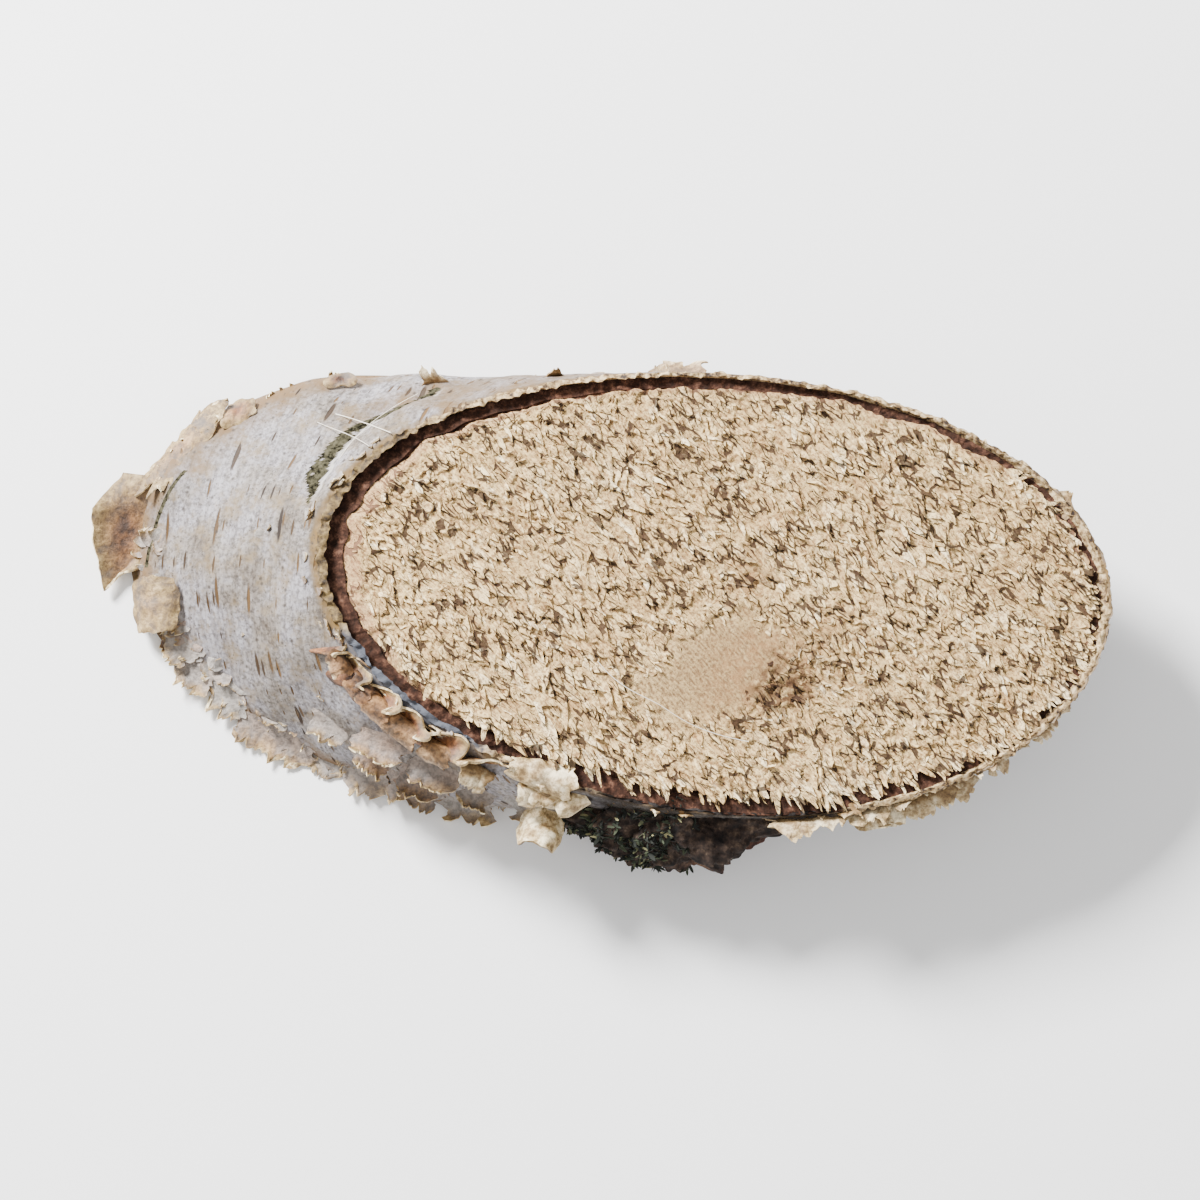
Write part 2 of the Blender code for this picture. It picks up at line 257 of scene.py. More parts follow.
# Small tongues on the rest of the branch, one in each equal stretch of it.
LOOSE_PEELS = 9
LOOSE_FROM, LOOSE_TO = -22, 95
LOOSE_SEED = 11

# Scraps: many short tongues, most of them along the two edges of the bark.
SCRAPS = 230
SCRAP_SEED = 5

# The crusted knot, with the spacing and size of its lumps, and the spots where its moss is tried.
KNOT_ANGLE = 283
KNOT_HEIGHT = 9.2 * MM
KNOT_HALF_SIZES = Vector((13.5 * MM, 6.8 * MM, 6.4 * MM))
KNOT_LUMPS = ((3.5 * MM, 0.34), (1.4 * MM, 0.14), (0.6 * MM, 0.05))
MOSS_SPOTS = 6500
MOSS_SEED = 9

# Fine threads over the bark: the radius in mm, then the angle and the share of the height of each point.
BARK_THREADS = (
    (0.065, ((130, 0.08), (134, 0.30), (137.5, 0.52), (141, 0.72), (146, 0.98))),
    (0.045, ((126, 0.60), (136, 0.69), (146, 0.79), (156, 0.90))),
    (0.045, ((140, 0.44), (143.5, 0.60), (146, 0.78), (151, 0.97))),
)
BARK_THREAD_LIFT = 0.45 * MM

# The thread over the cut: its radius, and the places of its points, in mm.
CUT_THREAD = (0.05, ((14.5, -11.5), (18.0, -15.0), (24.0, -15.6), (28.0, -19.4), (36.0, -19.9)))
CUT_THREAD_LIFT = 0.75 * MM

# The lights: name, place, side and power. The camera looks almost straight down, a little from the front.
LIGHTS = (("key", (-0.50, 0.42, 0.45), 0.22, 33.0), ("fill", (0.55, -0.45, 0.60), 0.60, 1.6))
CAMERA_AZIMUTH, CAMERA_ELEVATION = math.radians(7), math.radians(80)
CAMERA_DISTANCE = 0.46
CAMERA_LENS = 100


# The branch


class Branch:
    """The leaning round branch between its two saw cuts."""

    def __init__(self, sizes):
        self.radius = sizes.branch_radius
        self.cut_angle = sizes.cut_angle
        self.thickness = sizes.thickness
        self.long_radius = self.radius / math.sin(self.cut_angle)
        self.lean = self.thickness / math.tan(self.cut_angle)
        self.axis = Vector((math.cos(self.cut_angle), 0, math.sin(self.cut_angle)))

    def cut_point(self, angle, share, height):
        """A point at an angle round the branch, a share of the way out, at a height."""
        reach = share * out_of_round(angle)
        return Vector((
            self.lean * height / self.thickness + self.long_radius * reach * math.cos(angle),
            self.radius * reach * math.sin(angle),
            height,
        ))

    def on_cut(self, x, y):
        """The angle and the share of the way out to the wood's edge, for a place from the cut's middle."""
        x, y = x / self.long_radius, y / self.radius
        angle = math.atan2(y, x)
        return angle, math.hypot(y, x) / out_of_round(angle) / self.cut_edge(angle)

    def bark_frame(self, angle, height_share):
        """A point on the bark, the direction out of it, and how far the cut's edge runs in a radian."""
        height = height_share * self.thickness
        ahead = self.cut_point(angle + SLOPE_STEP, 1, height)
        behind = self.cut_point(angle - SLOPE_STEP, 1, height)
        edgewise = (ahead - behind) / (2 * SLOPE_STEP)
        return self.cut_point(angle, 1, height), edgewise.cross(self.axis).normalized(), edgewise

    def wood_edge(self, angle):
        """Where the wood's ragged edge meets the bark at an angle, as a share of the way out."""
        bark = 1 - WOOD_EDGE - WOOD_EDGE_SHIFT * math.cos(angle)
        ring = Vector((math.cos(angle), math.sin(angle), 0)) * RAGGED_WAVES
        return 1 - bark * (1 - RAGGED_EDGE * noise.noise(ring))

    def cut_edge(self, angle):
        """Where the wood of the upper cut ends: short of the bark where its edge has crumbled away."""
        return self.wood_edge(angle) - CRUMBLED_WOOD_SHARE * band(math.degrees(angle) % 360, CRUMBLED_WOOD)

    def paper_inner(self, angle):
        """Where the papery bark begins, as a share of the way through the bark."""
        left, right = PAPER_BARK_INNER
        return left + (right - left) * (1 + math.cos(angle)) / 2

    def through_bark(self, angle, share, height):
        """A point at a share of the way through the bark, from the wood at 0 to the outside at 1."""
        edge = self.wood_edge(angle)
        return self.cut_point(angle, edge + (1 - edge) * share, height)


def out_of_round(angle):
    """The branch's radius at an angle, as a share of its mean radius."""
    waves = (size * math.cos(count * angle - math.radians(crest)) for count, size, crest in OUT_OF_ROUND)
    return 1 + sum(waves)


def smooth_step(value, low, high):
    """0 below low, 1 above high, and a smooth slope between them."""
    share = min(1, max(0, (value - low) / (high - low)))
    return share * share * (3 - 2 * share)


def band(value, edges):
    """1 within a stretch, 0 outside it, and a smooth slope where it begins and fades."""
    start, full, fade, end = edges
    return smooth_step(value, start, full) * (1 - smooth_step(value, fade, end))


def turned(x, y, heading):
    """A place as seen along a heading and across it."""
    cos, sin = math.cos(heading), math.sin(heading)
    return x * cos + y * sin, y * cos - x * sin


def in_patch(x, y, patch):
    """1 at the middle of an oval patch, falling to 0 at its edge and beyond."""
    centre_x, centre_y, half_length, half_width, turn = patch
    stray = noise.noise_vector(Vector((x, y, 0)) / PATCH_STRAY_SPACING) * PATCH_STRAY
    along, across = turned(x - centre_x + stray.x, y - centre_y + stray.y, math.radians(turn))
    return 1 - smooth_step(math.hypot(along / half_length, across / half_width), 0.35, 1.0)


# Modelling


def clear_selection():
    """Leaves nothing selected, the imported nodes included."""
    if bpy.context.mode != "OBJECT":
        bpy.ops.object.mode_set(mode="OBJECT")
    bpy.ops.object.select_all(action="DESELECT")


def select(piece):
    """Leaves one piece selected and active."""
    clear_selection()
    piece.select_set(True)
    bpy.context.view_layer.objects.active = piece


def named(piece, name):
    """The piece, with its name given to it and to its mesh."""
    piece.name = piece.data.name = name
    return piece


def start_piece(name, add, **settings):
    """A new primitive under its piece's name, selected and active."""
    clear_selection()
    add(**settings)
    return named(bpy.context.object, name)


def place_points(piece, place):
    """Moves each point of a piece to where a formula puts it, with the marks that the formula gives it."""
    marks = {}
    for vert in piece.data.vertices:
        vert.co, given = place(vert.co.copy())
        for name, value in given.items():
            marks.setdefault(name, []).append(value)
    for name, values in marks.items():
        piece.data.attributes.new(name, "FLOAT", "POINT").data.foreach_set("value", values)
    piece.data.update()


def start_grid(name, faces, place):
    """A square grid with sides 2 long and so many faces each way, placed by a formula."""
    grid = start_piece(
        name, bpy.ops.mesh.primitive_grid_add, x_subdivisions=faces[0], y_subdivisions=faces[1], size=2)
    place_points(grid, place)
    return grid


def apply_modifier(piece, kind, **settings):
    """Adds a modifier to the active piece and applies it."""
    modifier = piece.modifiers.new(kind.title(), kind)
    for name, value in settings.items():
        setattr(modifier, name, value)
    bpy.context.view_layer.objects.active = piece
    bpy.ops.object.modifier_apply(modifier=modifier.name)


def join_pieces(name, parts):
    """Joins several meshes into one piece under a new name."""
    clear_selection()
    for part in parts:
        part.select_set(True)
    bpy.context.view_layer.objects.active = parts[0]
    bpy.ops.object.join()
    return named(bpy.context.object, name)


def finish_piece(piece, materials, smooth_below):
    """Gives a piece its materials and smoothness, and fixes it to the slice."""
    piece.data.materials.clear()
    for material in materials:
        piece.data.materials.append(material)
    select(piece)
    bpy.ops.object.shade_smooth_by_angle(angle=math.radians(smooth_below))
    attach(piece, "root")
    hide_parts("birch_slice")


def in_edit_mode(piece, *steps):
    """Runs edit mode operators one after the other on all of a piece."""
    select(piece)
    bpy.ops.object.mode_set(mode="EDIT")
    bpy.ops.mesh.select_all(action="SELECT")
    for operator, settings in steps:
        operator(**settings)
    bpy.ops.object.mode_set(mode="OBJECT")


# The steps in edit mode that leave only a mesh's open edges selected.
SELECT_OPEN_EDGES = (
    (bpy.ops.mesh.select_all, {"action": "DESELECT"}),
    (bpy.ops.mesh.select_mode, {"type": "EDGE"}),
    (bpy.ops.mesh.select_non_manifold, {}),
)


def copies(name, pattern, placed, mark_names, crumple=0):
    """One piece of many crumpled copies of a pattern, which is removed. Each has its matrix and marks."""
    matrices, *marks = zip(*placed)
    shape = np.array([vert.co for vert in pattern.data.vertices])
    faces = [tuple(face.vertices) for face in pattern.data.polygons]
    points, all_faces = [], []
    for number, matrix in enumerate(matrices):
        turn = np.array(matrix)
        points.append(shape @ turn[:3, :3].T + turn[:3, 3])
        start = number * len(shape)
        all_faces.extend(tuple(start + corner for corner in face) for face in faces)
    points = [Vector(point) for point in np.concatenate(points)]
    if crumple:
        points = [point + noise.noise_vector(point / SHINGLE_CRUMPLE_SPACING) * crumple for point in points]
    mesh = bpy.data.meshes.new(name)
    mesh.from_pydata(points, [], all_faces)
    along = (shape[:, 0] - shape[:, 0].min()) / np.ptp(shape[:, 0])
    spread = {mark: np.repeat(values, len(shape)) for mark, values in zip(mark_names, marks)}
    spread["along"] = np.tile(along, len(matrices))
    for mark, values in spread.items():
        mesh.attributes.new(mark, "FLOAT", "POINT").data.foreach_set("value", values)
    bpy.data.objects.remove(pattern)
    piece = bpy.data.objects.new(name, mesh)
    bpy.context.scene.collection.objects.link(piece)
    return piece


# Materials. A pattern's scale is 1 over its spacing in metres.


def linear(hex_colour):
    """An sRGB hex colour as linear RGBA."""
    channels = (int(hex_colour[place:place + 2], 16) / 255 for place in (0, 2, 4))
    return (*(c / 12.92 if c <= 0.04045 else ((c + 0.055) / 1.055) ** 2.4 for c in channels), 1)


def set_inputs(tree, node, inputs):
    """Sets a node's inputs: each is a value, a hex colour, or the node or output to link."""
    for name, value in inputs.items():
        if isinstance(value, bpy.types.Node):
            value = value.outputs[0]
        if isinstance(value, bpy.types.NodeSocket):
            tree.links.new(value, node.inputs[name])
        else:
            node.inputs[name].default_value = linear(value) if isinstance(value, str) else value


def add_node(tree, kind, inputs=None, stops=(), **settings):
    """Adds a node with its settings and links. Its stops are a ramp's places and hex colours."""
    node = tree.nodes.new("ShaderNode" + kind)
    for name, value in settings.items():
        setattr(node, name, value)
    set_inputs(tree, node, inputs or {})
    for number, (place, hex_colour) in enumerate(stops):
        elements = node.color_ramp.elements
        element = elements[number] if number < 2 else elements.new(place)
        element.position, element.color = place, linear(hex_colour)
    return node


def new_material(name):
    """A material, the function that adds nodes to it, and the coordinates that its patterns follow."""
    material = bpy.data.materials.new(name)
    material.use_nodes = True
    add = partial(add_node, material.node_tree)
    return material, add, add("TexCoord").outputs["Object"]


def finish_material(material, add, tone, tint, roughness, specular=0.5, bump=None):
    """Tints a finish, and gives it to the shader. A bump is its height, its strength and its depth."""
    if tint is not None:
        tone = add("MixRGB", {"Fac": 1.0, "Color1": tone, "Color2": tint}, blend_type="MULTIPLY")
    inputs = {"Base Color": tone, "Roughness": roughness, "Specular IOR Level": specular}
    if bump:
        height, strength, depth = bump
        inputs["Normal"] = add("Bump", {"Height": height, "Strength": strength, "Distance": depth})
    set_inputs(material.node_tree, material.node_tree.nodes["Principled BSDF"], inputs)
    return material


def fibre_space(add, place, length, width):
    """Coordinates that count fibres of one length and width, along and across the tear."""
    scale = (length, width, width)
    return add("Mapping", {"Vector": place, "Rotation": (0, 0, FIBRE_HEADING), "Scale": scale},
               vector_type="TEXTURE")


def fine_mottle(add, place):
    """A height, and the tone that it gives the wood: fibres drawn out along the tear, and fine grains."""
    drawn_out = fibre_space(add, place, 1.1 * MM, 0.28 * MM)
    fibre = add("TexNoise", {"Vector": drawn_out, "Scale": 1.0, "Detail": 4.0, "Roughness": 0.7})
    grains = add("TexNoise", {"Vector": place, "Scale": 1 / 0.0005, "Detail": 3.0, "Roughness": 0.7})
    both = add("Math", {0: fibre, 1: grains}, operation="ADD")
    half = add("Math", {0: both, 1: 0.5}, operation="MULTIPLY")
    return half, add("ValToRGB", {"Fac": half}, ((0.43, "86684a"), (0.54, "fffaea")))


def cracks(add, place):
    """Cracks between torn fibres, 0 to 1, where shade is painted: edges of long cells, open here, closed
    there.
    """
    warp = add("TexNoise", {"Vector": place, "Scale": 1 / 0.003, "Detail": 2.0}).outputs["Color"]
    pushed = add("VectorMath", {0: warp, 1: (0.0016, 0.0016, 0.0016)}, operation="MULTIPLY")
    moved = add("VectorMath", {0: place, 1: pushed}, operation="ADD")
    level = add("VectorMath", {0: moved, 1: (1, 1, 0)}, operation="MULTIPLY")
    long_cells = fibre_space(add, level.outputs[0], 2.9 * MM, 0.85 * MM)
    cells = add("TexVoronoi", {"Vector": long_cells, "Scale": 1.0}, feature="DISTANCE_TO_EDGE")
    opening = add("TexNoise", {"Vector": place, "Scale": 1 / 0.0019, "Detail": 2.0})
    width = add("MapRange", {"Value": opening, "From Min": 0.43, "From Max": 0.66, "To Max": 0.13})
    near = add("Math", {0: width, 1: cells.outputs["Distance"]}, operation="SUBTRACT")
    return add("MapRange", {"Value": near, "From Min": 0.0, "From Max": 0.035})


def sawn_birch(colours):
    """Sawn birch end grain: dry cream wood, painted shade in cracks between its torn flakes, brown at the
    pith.
    """
    material, add, place = new_material("sawn birch")
    marks = {
        name: add("Attribute", attribute_name=name).outputs["Fac"]
        for name in ("crease", "flake", "pith", "halo", "stain", "smooth", "edge")
    }

    # Broad, faint differences of tone over the cut, about 12 mm across.
    broad = add("TexNoise", {"Vector": place, "Scale": 1 / 0.012, "Detail": 3.0})
    tone = add("ValToRGB", {"Fac": broad}, ((0.30, "b99a6e"), (0.70, "e0c595"), (0.5, "ceb181")))
    flake = add("ValToRGB", {"Fac": marks["flake"]}, ((0.0, "b3946a"), (1.0, "eed8ae"), (0.55, "d6b988")))
    wood = add("MixRGB", {"Fac": 0.55, "Color1": tone, "Color2": flake})
    height, grain = fine_mottle(add, place)
    wood = add("MixRGB", {"Fac": 0.8, "Color1": wood, "Color2": grain}, blend_type="MULTIPLY")

    # The patch that the saw left smooth is a shade darker, with fine close lines across it.
    lines = add("Mapping", {"Vector": place, "Rotation": (0, 0, math.radians(-52))})
    saw = add("TexWave", {"Vector": lines, "Scale": 1 / 0.0016, "Distortion": 2.5, "Detail": 3.0,
                          "Detail Scale": 4.0})
    sawn = add("ValToRGB", {"Fac": saw.outputs["Fac"]}, ((0.0, "7d6443"), (1.0, "ab9270")))
    clouds = add("TexNoise", {"Vector": place, "Scale": 1 / 0.0035, "Detail": 4.0})
    clouded = add("MixRGB", {"Fac": clouds, "Color1": sawn, "Color2": "a88f6a"})
    grained = add("MixRGB", {"Fac": 0.7, "Color1": clouded, "Color2": grain}, blend_type="MULTIPLY")
    patch = add("Math", {0: marks["smooth"], 1: 0.85}, operation="MULTIPLY")
    wood = add("MixRGB", {"Fac": patch, "Color1": wood, "Color2": grained})

    # Brown at the pith and round it, and in a stain beyond it.
    patchy = add("TexNoise", {"Vector": place, "Scale": 1 / 0.0015, "Detail": 4.0})
    browns = (("halo", "8f6b45", 0.75), ("stain", "8a643e", 0.7), ("pith", "3a2213", 0.9))
    for mark, brown, strength in browns:
        clumps = add("MapRange", {"Value": patchy, "From Min": 0.35, "From Max": 0.62, "To Max": strength})
        share = add("Math", {0: marks[mark], 1: clumps}, operation="MULTIPLY")
        wood = add("MixRGB", {"Fac": share, "Color1": wood, "Color2": brown})

    # Painted shade in cracks and creases, which the smooth patch has none of, and the browner edge beside the
    # ring.
    tip_crease_shade = add("MapRange", {"Value": marks["crease"], "From Min": 0.5, "From Max": 1.0, "To Max": 0.8})
    sunk = add("Math", {0: cracks(add, place), 1: tip_crease_shade}, operation="MAXIMUM")
    rough = add("MapRange", {"Value": marks["smooth"], "From Min": 0.15, "From Max": 0.55, "To Min": 0.92,
                             "To Max": 0.0})
    dark = add("Math", {0: sunk, 1: rough}, operation="MULTIPLY")
    wood = add("MixRGB", {"Fac": dark, "Color1": wood, "Color2": colours.crease})
    edge = add("Math", {0: marks["edge"], 1: 0.4}, operation="MULTIPLY")
    wood = add("MixRGB", {"Fac": edge, "Color1": wood, "Color2": "a5795c"})
    relief = add("Math", {0: height, 1: dark}, operation="SUBTRACT")
    return finish_material(material, add, wood, colours.wood, 0.88, 0.25, (relief, 1.0, 0.3 * MM))


def torn_fibre(colours):
    """Torn birch fibre: paler than the wood that it stands on, painted shade towards its root and in its
    cracks.
    """
    material, add, place = new_material("torn birch fibre")
    lot, brown, along = (
        add("Attribute", attribute_name=name).outputs["Fac"] for name in ("lot", "brown", "along"))
    tone = add("ValToRGB", {"Fac": lot}, ((0.0, "c2a274"), (1.0, "fdeecb"), (0.5, "dfc494"), (0.8, "eed7ac")))
    # Painted shade: darker towards the root, where the fibre dips into the cut.
    root = add("MapRange", {"Value": along, "From Min": 0.0, "From Max": 0.45, "To Min": 0.6, "To Max": 0.0})
    tone = add("MixRGB", {"Fac": root, "Color1": tone, "Color2": "8a6840"})
    tone = add("MixRGB", {"Fac": brown, "Color1": tone, "Color2": "5c3d24"})
    height, grain = fine_mottle(add, place)
    tone = add("MixRGB", {"Fac": 0.80, "Color1": tone, "Color2": grain}, blend_type="MULTIPLY")
    # Painted shade in the cracks, in the crease colour.
    crack_shade = add("Math", {0: cracks(add, place), 1: 0.9}, operation="MULTIPLY")
    tone = add("MixRGB", {"Fac": crack_shade, "Color1": tone, "Color2": colours.crease})
    relief = add("Math", {0: height, 1: crack_shade}, operation="SUBTRACT")
    return finish_material(material, add, tone, colours.wood, 0.85, 0.25, (relief, 0.9, 0.25 * MM))


def inner_bark(colours):
    """Inner bark: dark red-brown, crumbly and quite matt."""
    material, add, place = new_material("crumbly inner bark")
    clumps = add("TexNoise", {"Vector": place, "Scale": 1 / 0.0011, "Detail": 5.0, "Roughness": 0.7})
    tone = add("ValToRGB", {"Fac": clumps}, ((0.34, "1c100a"), (0.70, "6e4d3c"), (0.52, "3a241a")))
    return finish_material(material, add, tone, colours.inner_bark, 0.95, 0.2, (clumps, 0.8, 0.3 * MM))


def papery_bark(colours):
    """Outer birch bark: white, faintly silky paper with dark slit pores round it, tan near its edges."""
    material, add, place = new_material("papery birch bark")
    laid = add("UVMap", uv_map="Branch")
    marks = {
        name: add("Attribute", attribute_name=name).outputs["Fac"]
        for name in ("ochre", "rim", "crest", "blue", "tan", "low", "crust")
    }
    broad = add("TexNoise", {"Vector": place, "Scale": 1 / 0.009, "Detail": 6.0, "Roughness": 0.65})
    paper = add("ValToRGB", {"Fac": broad},
                ((0.34, "74695e"), (0.68, "aca7a7"), (0.45, "928a83"), (0.56, "a29ea2")))

    # Faint bands and wrinkles, drawn out round the branch, and a fine grey mottling.
    stretched = add("Mapping", {"Vector": laid, "Scale": (1 / 0.009, 1 / 0.0007, 1)})
    bands = add("TexNoise", {"Vector": stretched, "Scale": 1.0, "Detail": 4.0, "Roughness": 0.6})
    mottle = add("TexNoise", {"Vector": place, "Scale": 1 / 0.0006, "Detail": 3.0, "Roughness": 0.7})
    for pattern, share, stops in (
        (bands, 0.45, ((0.34, "94877b"), (0.56, "ffffff"))),
        (mottle, 0.62, ((0.38, "6b6056"), (0.57, "ffffff"))),
    ):
        greyed = add("ValToRGB", {"Fac": pattern}, stops)
        paper = add("MixRGB", {"Fac": share, "Color1": paper, "Color2": greyed}, blend_type="MULTIPLY")

    # Beige where the white bloom has rubbed off, tan at the upper left and the foot, ochre beside the ring.
    worn = add("TexNoise", {"Vector": place, "Scale": 1 / 0.004, "Detail": 6.0, "Roughness": 0.7})
    rubbed = add("MapRange", {"Value": worn, "From Min": 0.50, "From Max": 0.66, "To Max": 0.65})
    paper = add("MixRGB", {"Fac": rubbed, "Color1": paper, "Color2": "85704f"})
    for mark, stain in (("tan", "6e5535"), ("low", "7a6042"), ("ochre", "5f4a22"), ("rim", "7d6238"),
                        ("blue", "4c4f58"), ("crust", "1a120d")):
        ragged = add("Math", {0: marks[mark], 1: worn}, operation="MULTIPLY")
        share = add("MapRange", {"Value": ragged, "From Min": 0.16, "From Max": 0.56, "To Max": 0.92})
        paper = add("MixRGB", {"Fac": share, "Color1": paper, "Color2": stain})

    # Slit pores, long ones and short ones: thin cells round the branch, of which a few are open.
    sunk = bands
    for run, rise, shut in ((0.0062, 0.0014, 0.80), (0.0030, 0.0008, 0.86)):
        stretched = add("Mapping", {"Vector": laid, "Scale": (1 / run, 1 / rise, 1)})
        pores = add("TexVoronoi", {"Vector": stretched, "Scale": 1.0}, voronoi_dimensions="2D")
        lot = add("SeparateColor", {"Color": pores.outputs["Color"]})
        some = add("Math", {0: lot, 1: shut}, operation="GREATER_THAN")
        size = add("MapRange", {"Value": lot.outputs[1], "To Min": 0.12, "To Max": 0.30})
        near = add("Math", {0: size, 1: pores.outputs["Distance"]}, operation="SUBTRACT")
        inside = add("MapRange", {"Value": near, "From Min": 0.0, "From Max": 0.09})
        pore = add("Math", {0: inside, 1: some}, operation="MULTIPLY")
        pore_tone = add("MixRGB", {"Fac": lot.outputs[2], "Color1": "231810", "Color2": "6a4e2b"})
        paper = add("MixRGB", {"Fac": pore, "Color1": paper, "Color2": pore_tone})
        sunk = add("Math", {0: sunk, 1: pore}, operation="SUBTRACT")

    # Dark specks in two sizes, in some of the cells of each.
    for spacing, shut in ((0.0013, 0.60), (0.0006, 0.58)):
        specks = add("TexVoronoi", {"Vector": place, "Scale": 1 / spacing})
        lot = add("SeparateColor", {"Color": specks.outputs["Color"]})
        some = add("Math", {0: lot, 1: shut}, operation="GREATER_THAN")
        dot = add("MapRange", {"Value": specks.outputs["Distance"], "From Min": 0.10, "From Max": 0.28,
                               "To Min": 0.8, "To Max": 0.0})
        speck = add("Math", {0: dot, 1: some}, operation="MULTIPLY")
        paper = add("MixRGB", {"Fac": speck, "Color1": paper, "Color2": "3d342c"})

    # The pale crest of the crease.
    crest = add("Math", {0: marks["crest"], 1: 0.6}, operation="MULTIPLY")
    paper = add("MixRGB", {"Fac": crest, "Color1": paper, "Color2": "d8d4cc"})
    return finish_material(material, add, paper, colours.bark, 0.62, 0.22, (sunk, 0.8, 0.16 * MM))


def bark_crease_and_slit_shade(colours):
    """Painted shade at the bottom of the bark's crease, shadow in the slit by the flap: dark olive, quite
    matt.
    """
    material, add, place = new_material("painted shade in the bark's crease and slit")
    stains = add("TexNoise", {"Vector": place, "Scale": 1 / 0.0009, "Detail": 4.0, "Roughness": 0.7})
    tone = add("ValToRGB", {"Fac": stains}, ((0.38, "15140e"), (0.62, "5a5644")))
    return finish_material(material, add, tone, colours.bark, 1.0, 0.0, (stains, 0.8, 0.2 * MM))


def bark_edge(colours):
    """The papery bark's cut edge: cream layers with brown lines, ochre at the left, dark at the front."""
    material, add, place = new_material("cut edge of papery bark")
    ochre, crust, grey = (
        add("Attribute", attribute_name=name).outputs["Fac"] for name in ("ochre", "crust", "blue"))
    crumbs = add("TexNoise", {"Vector": place, "Scale": 1 / 0.0009, "Detail": 4.0, "Roughness": 0.65})
    cream = add("ValToRGB", {"Fac": crumbs},
                ((0.37, "2a1b10"), (0.63, "dcc49a"), (0.45, "775c39"), (0.53, "b5986a")))
    dull = add("ValToRGB", {"Fac": crumbs}, ((0.36, "2f2210"), (0.66, "8a7244"), (0.50, "5f4a26")))
    tone = cream
    for share, over in ((ochre, dull), (grey, "4b4e57"), (crust, "1a100b")):
        tone = add("MixRGB", {"Fac": share, "Color1": tone, "Color2": over})
    return finish_material(material, add, tone, colours.bark, 0.8, bump=(crumbs, 0.9, 0.25 * MM))


def peeling_bark(colours, name, root, stops, orange_and_shade_stops):
    """One side of a peeling tongue: its own clouded tone, orange-brown where fresh, painted shade in the
    hollows.
    """
    material, add, place = new_material(name)
    orange, rolled = (add("Attribute", attribute_name=name).outputs["Fac"] for name in ("orange", "rolled"))
    cloudy = add("TexNoise", {"Vector": place, "Scale": 1 / 0.0028, "Detail": 6.0, "Roughness": 0.65})
    plain = add("ValToRGB", {"Fac": cloudy}, stops)
    brown = add("ValToRGB", {"Fac": cloudy}, orange_and_shade_stops)
    strayed = add("Math", {0: cloudy, 1: rolled}, operation="ADD")
    fine = add("TexNoise", {"Vector": place, "Scale": 1 / 0.0007, "Detail": 4.0, "Roughness": 0.7})
    speckled = add("ValToRGB", {"Fac": fine}, ((0.40, "6f6253"), (0.56, "ffffff")))
    at_root = add("MapRange", {"Value": strayed, "From Min": 1.0, "From Max": 1.45, "To Min": 0.92,
                               "To Max": 0.0})
    tone = add("MixRGB", {"Fac": at_root, "Color1": plain, "Color2": root})
    # The orange-brown fades out at free edges and tips: painted shade that deepens the fresh bark's colour in
    # hollows.
    depth = add("MapRange", {"Value": rolled, "From Min": 0.98, "From Max": 0.84})
    share = add("Math", {0: depth, 1: orange}, operation="MULTIPLY")
    tone = add("MixRGB", {"Fac": share, "Color1": tone, "Color2": brown})
    tone = add("MixRGB", {"Fac": 0.45, "Color1": tone, "Color2": speckled}, blend_type="MULTIPLY")
    both = add("Math", {0: cloudy, 1: fine}, operation="ADD")
    return finish_material(material, add, tone, colours.peel, 0.62, bump=(both, 0.7, 0.2 * MM))


def peel_outside(colours):
    """The weathered side of a peeling tongue: grey-white like the bark at its root, tan towards its tip."""
    return peeling_bark(colours, "peeling bark, weathered side", "9a948e",
                        ((0.34, "5c462a"), (0.66, "b79d72"), (0.46, "836a45"), (0.57, "9c8356")),
                        ((0.36, "3f220f"), (0.64, "8f5c33")))


def peel_inside(colours):
    """The fresh side of a peeling tongue: cream, or orange-brown, partly painted shade, in the hollow of a
    curl.
    """
    return peeling_bark(colours, "peeling bark, fresh side", "8a6c42",
                        ((0.36, "8d7146"), (0.60, "f2e2bc"), (0.47, "cbb080")),
                        ((0.36, "3a2414"), (0.64, "a67a4e"), (0.5, "76502d")))


def knot_crust(colours):
    """The knot's old crust: near-black brown, cracked and matt, reddish lower down."""
    material, add, place = new_material("crust of the knot")
    red = add("Attribute", attribute_name="red").outputs["Fac"]
    clumps = add("TexNoise", {"Vector": place, "Scale": 1 / 0.0016, "Detail": 6.0, "Roughness": 0.7})
    tone = add("ValToRGB", {"Fac": clumps},
               ((0.36, "100b09"), (0.70, "6b5a4b"), (0.50, "2b201a"), (0.60, "43352b")))
    reddish = add("ValToRGB", {"Fac": clumps}, ((0.36, "20120d"), (0.68, "8b664c"), (0.5, "4d3026")))
    tone = add("MixRGB", {"Fac": red, "Color1": tone, "Color2": reddish})
    return finish_material(material, add, tone, colours.knot, 0.9, 0.3, (clumps, 0.9, 0.4 * MM))


def moss(colours):
    """Dry moss: dark olive tufts with yellow-green tips."""
    material, add, _ = new_material("dry moss")
    lot = add("Attribute", attribute_name="lot").outputs["Fac"]
    tone = add("ValToRGB", {"Fac": lot},
               ((0.0, "0c0e08"), (1.0, "8e8760"), (0.45, "1c2318"), (0.85, "454c36")))
    return finish_material(material, add, tone, colours.knot, 0.9)


def silk():
    """Fine white thread, such as a spider leaves: pale and a little glossy."""
    material, add, place = new_material("white thread")
    cloudy = add("TexNoise", {"Vector": place, "Scale": 1 / 0.003, "Detail": 2.0})
    tone = add("ValToRGB", {"Fac": cloudy}, ((0.3, "d6cab6"), (0.7, "f3ebdc")))
    return finish_material(material, add, tone, None, 0.5)


